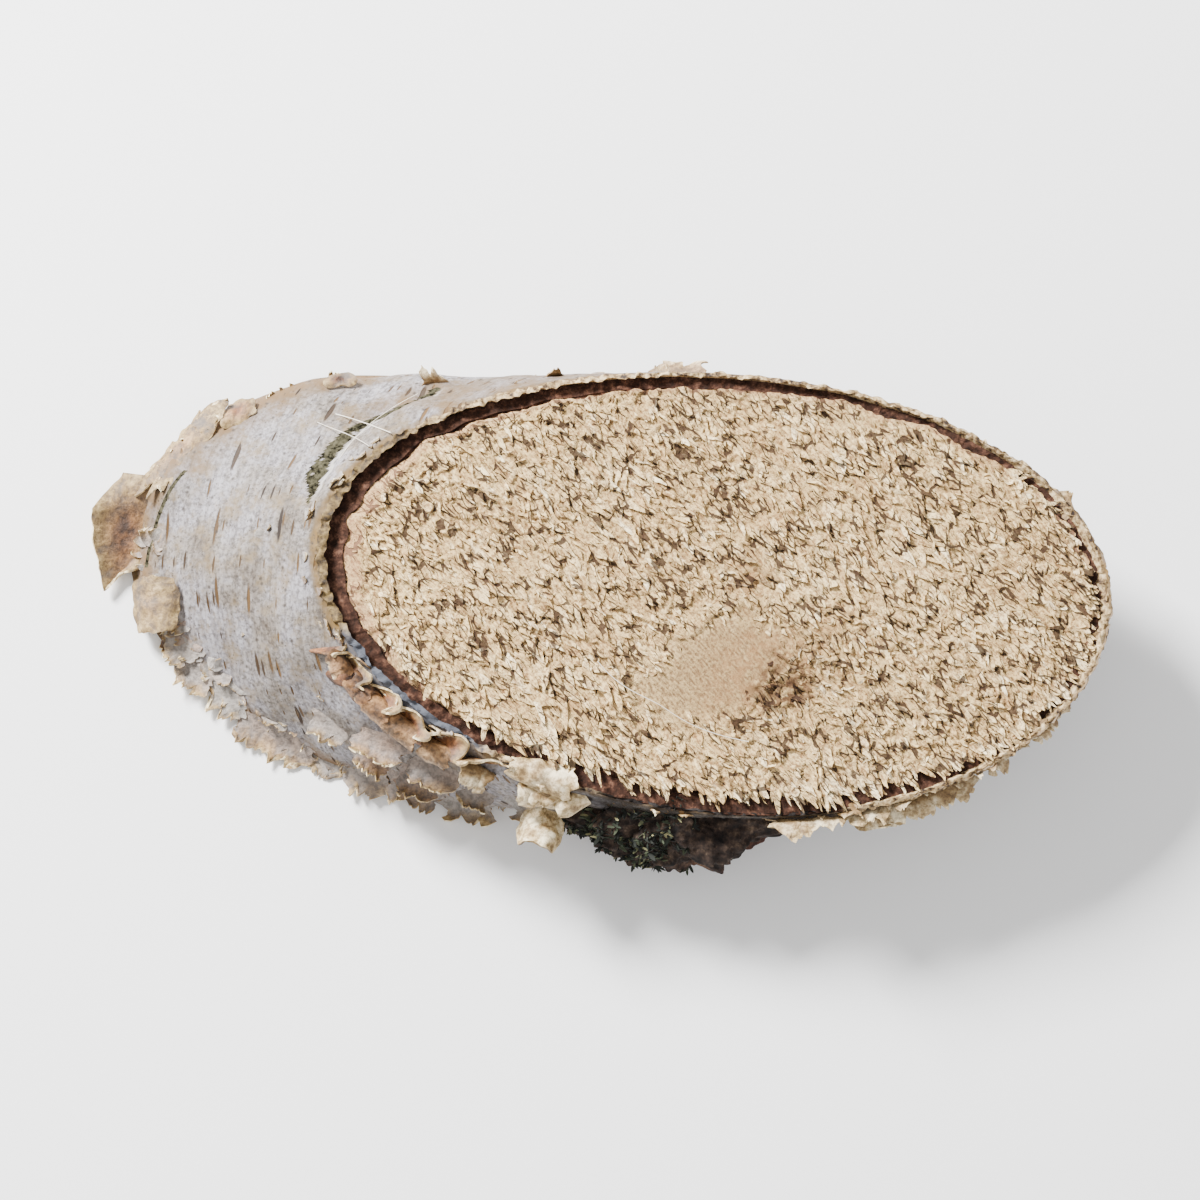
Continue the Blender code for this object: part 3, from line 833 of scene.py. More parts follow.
def pale_floor(colours):
    """A matt pale board under the slice."""
    material, add, place = new_material("pale floor")
    cloudy = add("TexNoise", {"Vector": place, "Scale": 1 / 0.3, "Detail": 2.0})
    tone = add("MixRGB", {"Fac": cloudy, "Color1": colours.floor, "Color2": "fcfcfc"})
    return finish_material(material, add, tone, None, 0.7, 0.1)


# Settings


def length(name, description, default):
    """A length that the user can change."""
    return bpy.props.FloatProperty(
        name=name, description=description, default=default, min=0, unit="LENGTH", subtype="DISTANCE",
        precision=4,
    )


def colour(name, description, hex_colour="ffffff"):
    """A colour that the user can change."""
    return bpy.props.FloatVectorProperty(
        name=name, description=description, default=linear(hex_colour), size=4, min=0, max=1, subtype="COLOR",
    )


class SliceSizes(bpy.types.PropertyGroup):
    """The slice's driving sizes."""

    branch_radius: length("Branch radius", "Mean radius of the round branch", 0.030)
    cut_angle: bpy.props.FloatProperty(
        name="Cut angle", description="Angle between the saw cut and the branch", default=math.radians(33),
        min=math.radians(15), max=math.radians(85), subtype="ANGLE",
    )
    thickness: length("Thickness", "Height of the upper cut above the lower one", 0.018)
    fibres: bpy.props.IntProperty(
        name="Fibres", description="Loose torn fibres over the cut", default=700, min=0, max=6000,
    )


class SliceColours(bpy.types.PropertyGroup):
    """Tints that multiply each finish, and the two flat colours."""

    wood: colour("Wood tint", "Multiplies the sawn wood and its fibres")
    # The crease colour is painted shade: it darkens the cracks and creases between the torn flakes and
    # fibres.
    crease: colour("Crease", "The brown of the creases between the fibres", "2b170b")
    inner_bark: colour("Inner bark tint", "Multiplies the dark ring")
    bark: colour("Bark tint", "Multiplies the white papery bark", "eaeaea")
    peel: colour("Peel tint", "Multiplies both sides of the peeling tongues")
    knot: colour("Knot tint", "Multiplies the knot's crust and its moss")
    floor: colour("Floor", "The pale floor", "f6f6f6")


# The sawn wood and its torn fibres


def flake(x, y, length, width, seed):
    """How far along its torn flake a point lies, how near its edge, and the flake's own lot, from 0 to 1."""
    along, across = turned(x, y, FIBRE_HEADING)
    spot = Vector((along / length, across / width, seed))
    distances, centres = noise.voronoi(spot)
    return spot.x - centres[0].x, distances[1] - distances[0], (noise.cell(centres[0]) + 1) / 2


def cut_relief(point, share):
    """How high the torn cut stands at a point, and the marks that colour it."""
    x, y = point.x, point.y
    wander = noise.noise_vector(Vector((x, y, 0)) / FLAKE_WANDER_SPACING) * FLAKE_WANDER
    smooth = in_patch(x, y, SMOOTH_PATCH)
    pith = in_patch(x, y, PITH)
    rough = (1 - 0.92 * smooth) * (1 - smooth_step(share, 0.985, 1.0) * 0.5)

    height, crease, tone = 0, 0, 0
    for number, (length, width, rise, shut, torn_open, deep, weight) in enumerate(FLAKES):
        slope, edge, lot = flake(x + wander.x, y + wander.y, length, width, 0.37 + number)
        height += rise * (0.35 + 0.9 * lot) * slope
        # The crease beyond each flake's tip is sunk, and its mark is painted dark as shade.
        at_tip = smooth_step(slope, 0.02, 0.32) * (1 - smooth_step(edge, 0.02, CREASE_SHARE))
        crease = max(crease, at_tip * (smooth_step(lot, shut, torn_open) * deep))
        tone += lot * weight
    fine_length, fine_width, fine_rise = FINE_FIBRE
    along, across = turned(x, y, FIBRE_HEADING)
    fine = noise.noise(Vector((along / fine_length, across / fine_width, 3)))
    height += fine_rise * fine - FIBRE_CREASE_DEPTH * crease
    height *= rough
    height += FACE_SWELL * noise.noise(Vector((x, y, 7)) / FACE_SWELL_SPACING)
    height += PITH_ROUGHNESS * pith * noise.noise(Vector((x, y, 0)) / PITH_ROUGHNESS_SPACING)
    marks = {
        "crease": crease * rough,
        "flake": min(1, max(0, tone + 0.25 * fine)),
        "pith": pith,
        "halo": in_patch(x, y, PITH_HALO),
        "stain": in_patch(x, y, STAIN),
        "smooth": smooth,
        "edge": smooth_step(share, 0.975, 1.0),
    }
    return height, marks


def round_from_square(corner):
    """The angle and the share of the way out of a disc for a point of a square with sides 2 long."""
    round_x = corner.x * math.sqrt(1 - corner.y**2 / 2)
    round_y = corner.y * math.sqrt(1 - corner.x**2 / 2)
    return math.atan2(round_y, round_x), math.hypot(round_x, round_y)


class BIRCH_OT_wood(bpy.types.Operator):
    """Make the sawn wood: the torn upper cut, and the lower cut that the slice lies on"""

    bl_idname = "birch_slice.wood"
    bl_label = "Sawn wood"

    def execute(self, context):
        branch = Branch(context.scene.birch_slice_sizes)

        def upper(corner):
            angle, share = round_from_square(corner)
            teeth = EDGE_TEETH * noise.noise(branch.cut_point(angle, 1, 0) / EDGE_TEETH_SPACING)
            edge = branch.cut_edge(angle) + teeth / branch.radius
            point = branch.cut_point(angle, share * edge, branch.thickness)
            height, marks = cut_relief(point, share)
            point.z += height
            return point, marks

        def lower(corner):
            angle, share = round_from_square(corner)
            point = branch.cut_point(angle, share * branch.wood_edge(angle), 0)
            height, marks = cut_relief(point * 1.1, share)
            point.z = max(0, height * 0.5)
            marks["pith"] = in_patch(point.x, point.y, (PITH[0] - branch.lean, *PITH[1:]))
            marks["halo"] = marks["smooth"] = marks["stain"] = 0
            return point, marks

        top = start_grid("upper_cut", UPPER_CUT_GRID, upper)
        base = start_grid("lower_cut", LOWER_CUT_GRID, lower)
        in_edit_mode(base, (bpy.ops.mesh.flip_normals, {}))
        wood = join_pieces("sawn_wood", [top, base])
        in_edit_mode(
            wood,
            *SELECT_OPEN_EDGES,
            (bpy.ops.mesh.bridge_edge_loops, {}),
            (bpy.ops.mesh.select_all, {"action": "SELECT"}),
            (bpy.ops.mesh.normals_make_consistent, {"inside": False}),
        )
        finish_piece(wood, [sawn_birch(context.scene.birch_slice_colours)], 60)
        return {"FINISHED"}


def splinter():
    """One torn fibre, 1 long and 1 wide, rising to a thin tip: a cube drawn out and narrowed three times."""
    pattern = start_piece("splinter", bpy.ops.mesh.primitive_cube_add, size=1)
    for vert in pattern.data.vertices:
        vert.co = Vector((-0.15 if vert.co.x < 0 else 0.25, vert.co.y * 0.8, vert.co.z * 0.30))
    stations = ((0.30, 0.05, 1.12, 0.9), (0.27, 0.13, 0.72, 0.75), (0.22, 0.17, 0.28, 0.5))
    for step, lift, width, depth in stations:
        bpy.ops.object.mode_set(mode="EDIT")
        bpy.ops.mesh.select_mode(type="FACE")
        bpy.ops.mesh.select_all(action="DESELECT")
        bpy.ops.object.mode_set(mode="OBJECT")
        tip = max(pattern.data.polygons, key=lambda face: face.center.x)
        tip.select = True
        bpy.ops.object.mode_set(mode="EDIT")
        bpy.ops.mesh.extrude_region_move(TRANSFORM_OT_translate={"value": (step, 0, lift)})
        bpy.ops.transform.resize(value=(1, width, depth))
        bpy.ops.object.mode_set(mode="OBJECT")
    return pattern


def splinter_place(point, heading, lift, roll, size):
    """Where one splinter goes: its root's place, heading, lift and roll, and its length, width and depth."""
    turn = Matrix.Rotation(heading, 4, "Z") @ Matrix.Rotation(-lift, 4, "Y") @ Matrix.Rotation(roll, 4, "X")
    return Matrix.Translation(point) @ turn @ Matrix.Diagonal((*size, 1))


def shingle():
    """One torn flake of fibres, 1 long and 1 wide: a small arched sheet with thickness, narrow at its tip."""
    pattern = start_piece(
        "shingle", bpy.ops.mesh.primitive_grid_add, x_subdivisions=4, y_subdivisions=2, size=1)
    widths = (0.62, 0.98, 1.0, 0.92, 0.66)
    for vert in pattern.data.vertices:
        along = vert.co.x + 0.5
        vert.co.y *= widths[round(along * 4)]
        vert.co.z = 0.45 * (1 - 4 * vert.co.y**2) + 0.5 * along**2
        vert.co.x = along - 0.15 + (0.10 if vert.co.y > 0 else -0.06) * (along == 1)
    apply_modifier(pattern, "SOLIDIFY", thickness=0.55, offset=-1)
    return pattern


def cut_root(branch, angle, share):
    """The point on the torn cut, with its marks, at an angle and a share of the way out."""
    point = branch.cut_point(angle, share * branch.cut_edge(angle), branch.thickness)
    height, marks = cut_relief(point, share)
    point.z += height
    return point, marks


def fibre_lot(draw, marks):
    """How pale a fibre is, and how brown, from the marks of the cut below it."""
    lot = min(1, max(0, 0.15 + 0.55 * marks["flake"] + draw.uniform(-0.3, 0.4)))
    stain = 0.9 * marks["pith"] + 0.60 * marks["halo"] + 0.50 * marks["stain"]
    return lot, min(0.9, stain * draw.uniform(0.4, 1.2))


def place_shingles(branch, draw):
    """Shingles in rows along the fibres, few in the smooth patch: each one's matrix and lots."""
    placed = []
    reach = 1.25 * branch.long_radius
    rows, columns = (int(2 * reach / spacing) for spacing in SHINGLE_SPACING)
    for row in range(rows):
        for column in range(columns):
            along = (row + draw.uniform(-0.4, 0.4) + column % 2 / 2) * SHINGLE_SPACING[0] - reach
            across = (column + draw.uniform(-0.4, 0.4)) * SHINGLE_SPACING[1] - reach
            angle, share = branch.on_cut(*turned(along, across, -FIBRE_HEADING))
            if share > 0.987:
                continue
            point, marks = cut_root(branch, angle, share)
            if draw.random() < 0.30 + 0.75 * marks["smooth"]:
                continue
            broad = smooth_step(noise.noise(point / (12 * MM)), -0.3, 0.4)
            coarse = 0.72 + 0.4 * broad - 0.25 * marks["halo"]
            coarse += 0.75 * in_patch(point.x, point.y, LARGE_PLATES) * draw.random()
            turn = FIBRE_HEADING + draw.gauss(0, 0.30 + 1.2 * marks["pith"])
            long = draw.triangular(*SHINGLE_LENGTHS) * coarse * (1 - 0.5 * marks["smooth"])
            wide = draw.uniform(*SHINGLE_WIDTHS) * coarse
            lift, roll = draw.triangular(-0.04, 0.26, 0.05), draw.gauss(0.10, 0.22)
            point.z -= SHINGLE_SINK
            matrix = splinter_place(point, turn, lift, roll, (long, wide, SHINGLE_DEPTH))
            placed.append((matrix, *fibre_lot(draw, marks)))
    return placed


def place_splinters(branch, draw, fibres):
    """Splinters anywhere, curled ones at the pith, and teeth over the ring: each one's matrix and lots."""
    placed = []

    def stand(angle, share, heading, lift, length, width):
        point, marks = cut_root(branch, angle, share)
        if draw.random() < marks["smooth"] * 1.3:
            return
        matrix = splinter_place(point, heading, lift, draw.uniform(-0.5, 0.5), (length, width, width * 0.6))
        lot, brown = fibre_lot(draw, marks)
        placed.append((matrix, min(1, lot + 0.15), brown))

    for _ in range(fibres):
        angle, share = draw.uniform(-math.pi, math.pi), math.sqrt(draw.random()) * 0.985
        stand(angle, share, FIBRE_HEADING + draw.gauss(0, 0.5), draw.uniform(0.05, 0.35),
              draw.uniform(0.8, 1.9) * MM, draw.uniform(0.25, 0.55) * MM)
    for _ in range(PITH_CURLS):
        x, y = (draw.gauss(centre, size / 2) for centre, size in zip(PITH[:2], PITH_HALO[2:4]))
        angle, share = branch.on_cut(x - branch.lean, y)
        if share < 0.95:
            stand(angle, share, draw.uniform(0, math.tau), draw.uniform(0.1, 0.6),
                  draw.uniform(0.8, 1.7) * MM, draw.uniform(0.25, 0.45) * MM)
    for _ in range(OVERHANGING_TEETH):
        turn = (OVERHANG_FROM + OVERHANG_STRETCH * draw.random()) % 360
        angle = math.radians(turn)
        spot = Vector((math.cos(angle), math.sin(angle), 0))
        if noise.noise(spot * 14) < draw.uniform(-0.7, 0.05):
            continue
        outwards = branch.bark_frame(angle, 1)[1]
        heading = math.atan2(outwards.y, outwards.x)
        mixed = heading + (FIBRE_HEADING - heading) * draw.uniform(0.4, 1.2) + draw.gauss(0, 0.25)
        front = band(turn, CRUMBLED_WOOD)
        stand(angle, draw.uniform(0.955, 0.995), mixed, draw.uniform(-0.2, 0.2),
              draw.triangular(0.8, 2.4 + 2.2 * front, 1.3 + 0.6 * front) * MM, draw.uniform(0.4, 1.1) * MM)
    return placed


class BIRCH_OT_fibres(bpy.types.Operator):
    """Stand torn flakes and fibres on the upper cut, and let some overhang the dark ring"""

    bl_idname = "birch_slice.fibres"
    bl_label = "Torn fibres"

    def execute(self, context):
        sizes = context.scene.birch_slice_sizes
        branch = Branch(sizes)
        draw = random.Random(FIBRE_SEED)
        marks = ("lot", "brown")
        flakes = copies("torn_flakes", shingle(), place_shingles(branch, draw), marks, SHINGLE_CRUMPLE)
        splinters = place_splinters(branch, draw, sizes.fibres)
        loose = copies("loose_fibres", splinter(), splinters, marks, SHINGLE_CRUMPLE)
        material = torn_fibre(context.scene.birch_slice_colours)
        finish_piece(flakes, [material], 50)
        finish_piece(loose, [material], 50)
        return {"FINISHED"}


# The two rings of bark


def along_section(section, row, rows):
    """The share through the bark and the share of the height of a ring's cross-section at a row."""
    row = (row - section[0][0]) % rows + section[0][0]
    for (before, *first), (after, *second) in zip(section, section[1:]):
        if before <= row <= after:
            part = (row - before) / (after - before)
            return [a + (b - a) * part for a, b in zip(first, second)]
    raise ValueError(f"row {row} lies outside the section")


def start_ring(name, faces, section, place):
    """A closed ring from a grid with welded seams: place(angle, share through the bark, height's share)."""
    around, rows = faces

    def spot(corner):
        column, row = round((corner.x + 1) / 2 * around) % around, round((corner.y + 1) / 2 * rows) % rows
        share, height = along_section(section, row, rows)
        return place(math.tau * column / around, share, height)

    ring = start_grid(name, faces, spot)
    in_edit_mode(ring, *SELECT_OPEN_EDGES, (bpy.ops.mesh.remove_doubles, {"threshold": 1e-7}))
    return ring


class BIRCH_OT_inner_bark(bpy.types.Operator):
    """Make the dark ring of inner bark between the wood and the papery bark"""

    bl_idname = "birch_slice.inner_bark"
    bl_label = "Inner bark"

    def execute(self, context):
        branch = Branch(context.scene.birch_slice_sizes)

        def place(angle, share, height):
            under = (branch.cut_edge(angle) - 0.03 - branch.wood_edge(angle)) / (1 - branch.wood_edge(angle))
            outer = branch.paper_inner(angle) + 0.08
            through = under + (outer - under) * share if share >= 0 else 0.02
            point = branch.through_bark(angle, through, height * branch.thickness)
            if height == 1:
                crumbs = noise.noise(point / (1.3 * MM)) + 0.6 * noise.noise(point / (0.5 * MM))
                point.z -= 0.35 * MM + INNER_BARK_DROP * (1 - math.cos(angle)) / 2
                point.z += 0.42 * MM * crumbs
            else:
                point.z = max(point.z, UNDERSIDE_RIM_LIFT)
            return point, {}

        ring = start_ring("inner_bark", INNER_BARK_GRID, INNER_BARK_SECTION, place)
        finish_piece(ring, [inner_bark(context.scene.birch_slice_colours)], 70)
        return {"FINISHED"}


def bark_relief(angle, point, thickness):
    """How far the bark swells out or sinks, and the marks of its crease's painted shade and of the crease's
    crest.
    """
    swell = BARK_SWELL * noise.noise(point / BARK_SWELL_SPACING)
    wrinkles = 0.10 * MM * noise.noise(Vector((point.x, point.y * 0.4, point.z)) / (1.6 * MM))
    along = (math.degrees(angle) % 360 - CREASE_FROM) / (CREASE_TO - CREASE_FROM)
    if not 0 <= along <= 1:
        return swell + wrinkles, 0, 0
    middle = (CREASE_HEIGHT_FROM + (CREASE_HEIGHT_TO - CREASE_HEIGHT_FROM) * along) * thickness
    worn = noise.noise(point / (0.8 * MM))
    wavy = 0.35 * MM * noise.noise(point / (4 * MM)) + 0.28 * MM * noise.noise(point / (1.1 * MM))
    off = (point.z - middle + wavy) / CREASE_HALF_WIDTH
    fade = band(along, (0, 0.12, 0.85, 1))
    sunk = max(0, 1 - abs(off)) * fade
    crest = math.exp(-(((off - 0.08) / 0.09) ** 2)) * fade
    # The thin line and the dark band beside the crest mark where the crease's shade is painted.
    line = 0.8 * math.exp(-(((off - 0.48) / 0.10) ** 2)) * smooth_step(along, 0, 0.1) * (1 - along)
    width = 0.11 + 0.24 * smooth_step(along, 0.1, 0.65) * (1 - smooth_step(along, 0.72, 1))
    ends = band(along, (0, 0.06, 0.95, 1))
    dark = (1 - smooth_step(abs(off + width), width * 0.7, width * 1.1)) * ends
    dark *= smooth_step(worn, -0.7, -0.3)
    return swell + wrinkles - CREASE_DEPTH * sunk, max(line, dark), crest


def slit_height(turn):
    """The share of the height where the slit lies at an angle in degrees."""
    return SLIT_HEIGHT - SLIT_FALL * (turn - SLIT_ANGLE)


def lay_out(piece, branch):
    """Gives the bark its UV map, in metres: round the branch and along it, its seam under the overhang."""
    angles = [math.atan2(v.co.y, v.co.x - branch.lean * v.co.z / branch.thickness) % math.tau
              for v in piece.data.vertices]
    runs = [v.co.dot(branch.axis) for v in piece.data.vertices]
    layer = piece.data.uv_layers.new(name="Branch")
    for face in piece.data.polygons:
        crosses = max(angles[v] for v in face.vertices) - min(angles[v] for v in face.vertices) > math.pi
        for loop, vert in zip(face.loop_indices, face.vertices):
            angle = angles[vert] + (math.tau if crosses and angles[vert] < math.pi else 0)
            layer.data[loop].uv = angle * branch.radius, runs[vert]


class BIRCH_OT_papery_bark(bpy.types.Operator):
    """Make the wall of white papery bark round the slice"""

    bl_idname = "birch_slice.papery_bark"
    bl_label = "Papery bark"

    def execute(self, context):
        branch = Branch(context.scene.birch_slice_sizes)

        def place(angle, share, height):
            turn = math.degrees(angle) % 360
            marks = {"cut": float(height == 1 or (share < 1 and height > 0.8)), "crease": 0, "crest": 0}
            crust = band(turn, CRUSTED_RIM)
            by_slit = SLIT_FROM <= turn <= SLIT_TO
            off_slit = height - slit_height(turn)
            if share == 1 and by_slit and abs(off_slit) < BARK_ROW:
                height = slit_height(turn) + math.copysign(SLIT_HALF_WIDTH, off_slit)
            if share < 1:
                inner = branch.paper_inner(angle)
                through = inner + (1 - inner) * share if share >= 0 else 0.02
                point = branch.through_bark(angle, through, height * branch.thickness)
            else:
                point, outward, _ = branch.bark_frame(angle, height)
                relief, marks["crease"], marks["crest"] = bark_relief(angle, point, branch.thickness)
                ends = band(height, (0, 0.05, 0.84, 1))
                flare = FLARE * band(turn, FLARED_FOOT) * (1 - smooth_step(height, 0, 0.6))
                point += outward * (relief * ends + flare - 0.45 * MM * smooth_step(height, 0.95, 1) ** 2)
            if height == 1:
                ragged = noise.noise(point / (0.9 * MM)) + 0.7 * noise.noise(point / (2.5 * MM))
                sideways = noise.noise_vector(point / (0.8 * MM))
                point += Vector((sideways.x, sideways.y, 0)) * 0.48 * MM
                point.z += BARK_RIM_RISE * (1 - share) + 0.45 * MM * ragged - 0.9 * MM * crust
            if height == 0:
                point.z = UNDERSIDE_RIM_LIFT
            near_rim = smooth_step(height, 0.935, 0.985)
            marks["ochre"] = max(share < 1, near_rim) * band(turn, OCHRE_RIM)
            marks["rim"] = smooth_step(height, 0.955, 0.985) * 0.9
            # The slit's faces take the painted shadow of the flap.
            marks["slit"] = float(by_slit and abs(height - slit_height(turn)) <= SLIT_HALF_WIDTH * 1.01)
            marks["blue"] = smooth_step(height, 0.93, 0.965) * band(turn, GREY_LAYER)
            marks["tan"] = max(band(turn, TAN_BARK) * (1 - smooth_step(height, 0.12, 0.42)),
                               0.85 * band(turn, TAN_TOP) * smooth_step(height, 0.2, 0.6))
            marks["low"] = 1 - smooth_step(height, 0.05, 0.22)
            marks["crust"] = crust * smooth_step(height, 0.70, 0.85)
            return point, marks

        wall = start_ring("papery_bark", PAPERY_BARK_GRID, PAPERY_BARK_SECTION, place)
        lay_out(wall, branch)
        colours = context.scene.birch_slice_colours
        finish_piece(wall, [papery_bark(colours), bark_edge(colours), bark_crease_and_slit_shade(colours)], 60)
        cut, crease, slit = (wall.data.attributes[name].data for name in ("cut", "crease", "slit"))
        for face in wall.data.polygons:
            if all(cut[vert].value > 0.5 for vert in face.vertices):
                face.material_index = 1
            # Faces deep in the crease or along the slit take the painted shade.
            elif max(sum(mark[vert].value for vert in face.vertices) for mark in (crease, slit)) > 2.5:
                face.material_index = 2
        return {"FINISHED"}


# The peeling bark


def torn(size, distance, angle):
    """A tongue's length or half width, at a distance along the torn edge that ends it."""
    stray = noise.noise(Vector((distance / TEAR_SPACING, angle * math.tau, 0)))
    teeth = noise.noise(Vector((distance / TEETH_SPACING, angle * math.tau, 5)))
    return size + min(TEAR_DEPTH, size / 2) * stray + min(TEETH_DEPTH, size / 4) * teeth


def crumpled(point, amount):
    """A point moved by the crumple of thin bark, and kept above the floor."""
    point = point + noise.noise_vector(point / PEEL_CRUMPLE_SPACING) * PEEL_CRUMPLE * amount
    point.z = max(point.z, LOWEST)
    return point


def start_sheet(name, faces, thickness, place, weathered_up=True):
    """A sheet of bark with thickness: one side weathered, the other side and its edges fresh."""
    sheet = start_grid(name, faces, place)
    sides = ["peeling bark, weathered side", "peeling bark, fresh side"]
    for side in sides if weathered_up else reversed(sides):
        sheet.data.materials.append(bpy.data.materials[side])
    apply_modifier(sheet, "SOLIDIFY", thickness=thickness, offset=0, material_offset=1, material_offset_rim=1)
    return sheet


def make_peel(branch, number, spec):
    """One tongue of bark, its root sunk in the wall and the rest rolled up along its heading."""
    angle, height_share, width, length, radius, heading, tip, orange = spec
    angle, heading = math.radians(angle), math.radians(heading)
    width, length, radius = width * MM, length * MM, radius * MM
    _, outward, edgewise = branch.bark_frame(angle, height_share)
    climb = outward.cross(edgewise.normalized()).z / branch.thickness

    def place(corner):
        along, across = (corner.x + 1) / 2, corner.y
        side = math.copysign(1, across)
        rounded = math.sqrt(1 - 0.4 * max(0, (along - 0.6) / 0.4) ** 2)
        aside = across * torn(width / 2 * (1 + (tip - 1) * along) * rounded, along * length, angle + side)
        root_angle = angle - aside * math.sin(heading) / edgewise.length
        root, out, around = branch.bark_frame(root_angle, height_share + aside * math.cos(heading) * climb)
        around.normalize()
        ahead = around * math.cos(heading) + out.cross(around) * math.sin(heading)
        marks = {"orange": orange, "rolled": along}
        if along == 0:
            return root - (out + ahead) * PEEL_ROOT, marks
        roll = radius * (1 - PEEL_TIGHTENING * along)
        rolled = along * torn(length, across * width, angle) / radius
        point = root + ahead * roll * math.sin(rolled) + out * roll * (1 - math.cos(rolled))
        return crumpled(point, min(1, along * 2)), marks

    faces = [max(4, round(size / PEEL_CELL)) for size in (length, width)]
    return start_sheet(f"peel_{number}", faces, PEEL_THICKNESS, place)


def loose_peels():
    """Small tongues over the rest of the branch, clear of the underside."""
    draw = random.Random(LOOSE_SEED)
    stretch = (LOOSE_TO - LOOSE_FROM) / LOOSE_PEELS
    peels = []
    for number in range(LOOSE_PEELS):
        angle = LOOSE_FROM + stretch * (number + draw.random())
        height_share = draw.choice((0.3, 0.6, 0.85))
        width, length, radius = draw.uniform(3.5, 6.5), draw.uniform(4.5, 7.0), draw.uniform(2.0, 4.0)
        heading = draw.choice((40, 90, 140))
        peels.append((angle, height_share, width, length, radius, heading, 0.6, draw.random() * 0.6))
    return peels


def scraps():
    """Short torn tongues: most along the lower edge and the upper edge, a few anywhere on the wall."""
    draw = random.Random(SCRAP_SEED)
    found = []
    for _ in range(SCRAPS):
        where, small = draw.random(), 1
        if where < 0.50:
            root = draw.uniform(165, 285), draw.uniform(0.04, 0.20), draw.gauss(-85, 30)
        elif where < 0.82:
            root = draw.uniform(135, 400), draw.uniform(0.90, 0.985), draw.gauss(90, 25)
        else:
            root = draw.uniform(0, 360), draw.uniform(0.15, 0.85), draw.uniform(-180, 180)
            small = 0.45
        angle, height_share, heading = root
        width, length = draw.uniform(1.0, 3.4) * small, draw.uniform(0.8, 2.6) * small
        radius, tip, orange = draw.uniform(1.2, 3.5), draw.uniform(0.05, 0.5), 0.6 * draw.random() ** 3
        found.append((angle, height_share, width, length, radius, heading, tip, orange))
    return found


def make_ruffle(branch):
    """The ruffled sheet that stands off the bark by the ring: a strip whose free edge winds in and out."""
    stretch = RUFFLE_TO - RUFFLE_FROM
    length = branch.bark_frame((RUFFLE_FROM + RUFFLE_TO) / 2, 0.9)[2].length * stretch

    def place(corner):
        along, up = (corner.x + 1) / 2, (corner.y + 1) / 2
        run = along * length
        phase = math.tau * along * length / RUFFLE_WAVE + 2.2 * noise.noise(Vector((run / (6 * MM), 4, 0)))
        low, high = RUFFLE_HEIGHTS
        free = high + 0.07 * noise.noise(Vector((run / (2 * MM), 9, 0)))
        root, outward, edgewise = branch.bark_frame(RUFFLE_FROM + stretch * along, low + (free - low) * up)
        opened = up**1.2 * band(along, (0, 0.06, 0.94, 1))
        point = root + outward * (-0.5 * MM + opened * (RUFFLE_LEAN + RUFFLE_DEPTH * math.sin(phase)))
        point += edgewise.normalized() * opened * RUFFLE_DEPTH * 0.85 * math.cos(phase)
        point += noise.noise_vector(point / (1.6 * MM)) * 0.35 * MM * opened
        # The orange-brown, partly painted shade, covers the sheet and fades out at its free edge.
        return point, {"orange": 1.0, "rolled": up}

    return start_sheet("ruffle", RUFFLE_GRID, STRIP_THICKNESS, place)


def make_flap(branch):
    """The flap at the left tip: a sheet from its root below the slit out to its free edge, hollow between."""

    def place(corner):
        out, along = (corner.x + 1) / 2, (corner.y + 1) / 2
        turn = FLAP_FROM + (FLAP_TO - FLAP_FROM) * along
        root, outward, _ = branch.bark_frame(math.radians(turn), slit_height(turn) - 0.035)
        spot = along * (len(FLAP_EDGE) - 1)
        before = min(int(spot), len(FLAP_EDGE) - 2)
        edge = Vector(FLAP_EDGE[before]).lerp(Vector(FLAP_EDGE[before + 1]), spot - before) * MM
        point = (root - outward * FLAP_SINK).lerp(edge, out)
        hollow = math.sin(math.pi * out) * math.sin(math.pi * along)
        point.z += FLAP_HOLLOW * (0.6 * math.sin(math.pi * out) - 1.3 * hollow)
        point += noise.noise_vector(point / PEEL_CRUMPLE_SPACING) * PEEL_CRUMPLE * out
        point += (edge - root) * 0.05 * noise.noise(Vector((out, along, 0)) * 9) * out
        point.z = max(point.z, LOWEST)
        # The orange-brown, partly painted shade, grows stronger in the hollow.
        return point, {"orange": 0.85, "rolled": 1 - 0.17 * hollow}

    return start_sheet("flap", FLAP_GRID, STRIP_THICKNESS, place)


def make_shell(number, spec):
    """A small shell of curled bark: a grid with rounded corners, rolled across its width and crumpled."""
    centre, (length, width, curl), turns, ragged, orange, weathered_up = spec
    turn, rise, lean = (math.radians(angle) for angle in turns)
    matrix = Matrix.Translation(Vector(centre) * MM) @ Matrix.Rotation(turn, 4, "Z")
    matrix = matrix @ Matrix.Rotation(-rise, 4, "Y") @ Matrix.Rotation(lean, 4, "X")
    radius = width / math.radians(curl)

    def place(corner):
        x, y = corner.x, corner.y
        flat = Vector((x * math.sqrt(1 - 0.35 * y**2), y * math.sqrt(1 - 0.35 * x**2), 0))
        stray = 1 + ragged * noise.noise(Vector((flat.x * length, flat.y * width, 9 * number)) / 2.2)
        roll = radius * (1 + 0.25 * flat.x)
        rolled = flat.y * stray * width / 2 / roll
        out, down = roll * math.sin(rolled), roll * (math.cos(rolled) - 1)
        point = matrix @ (Vector((flat.x * stray * length / 2, out, down)) * MM)
        # Orange-brown, partly painted shade, in the shell's middle, fading towards its edges.
        return crumpled(point, 1.5), {"orange": orange, "rolled": 0.80 + 0.20 * min(1, flat.length)}

    faces = [round(size * MM / PEEL_CELL * 1.3) for size in (length, width)]
    return start_sheet(f"shell_{number}", faces, SHELL_THICKNESS, place, weathered_up)


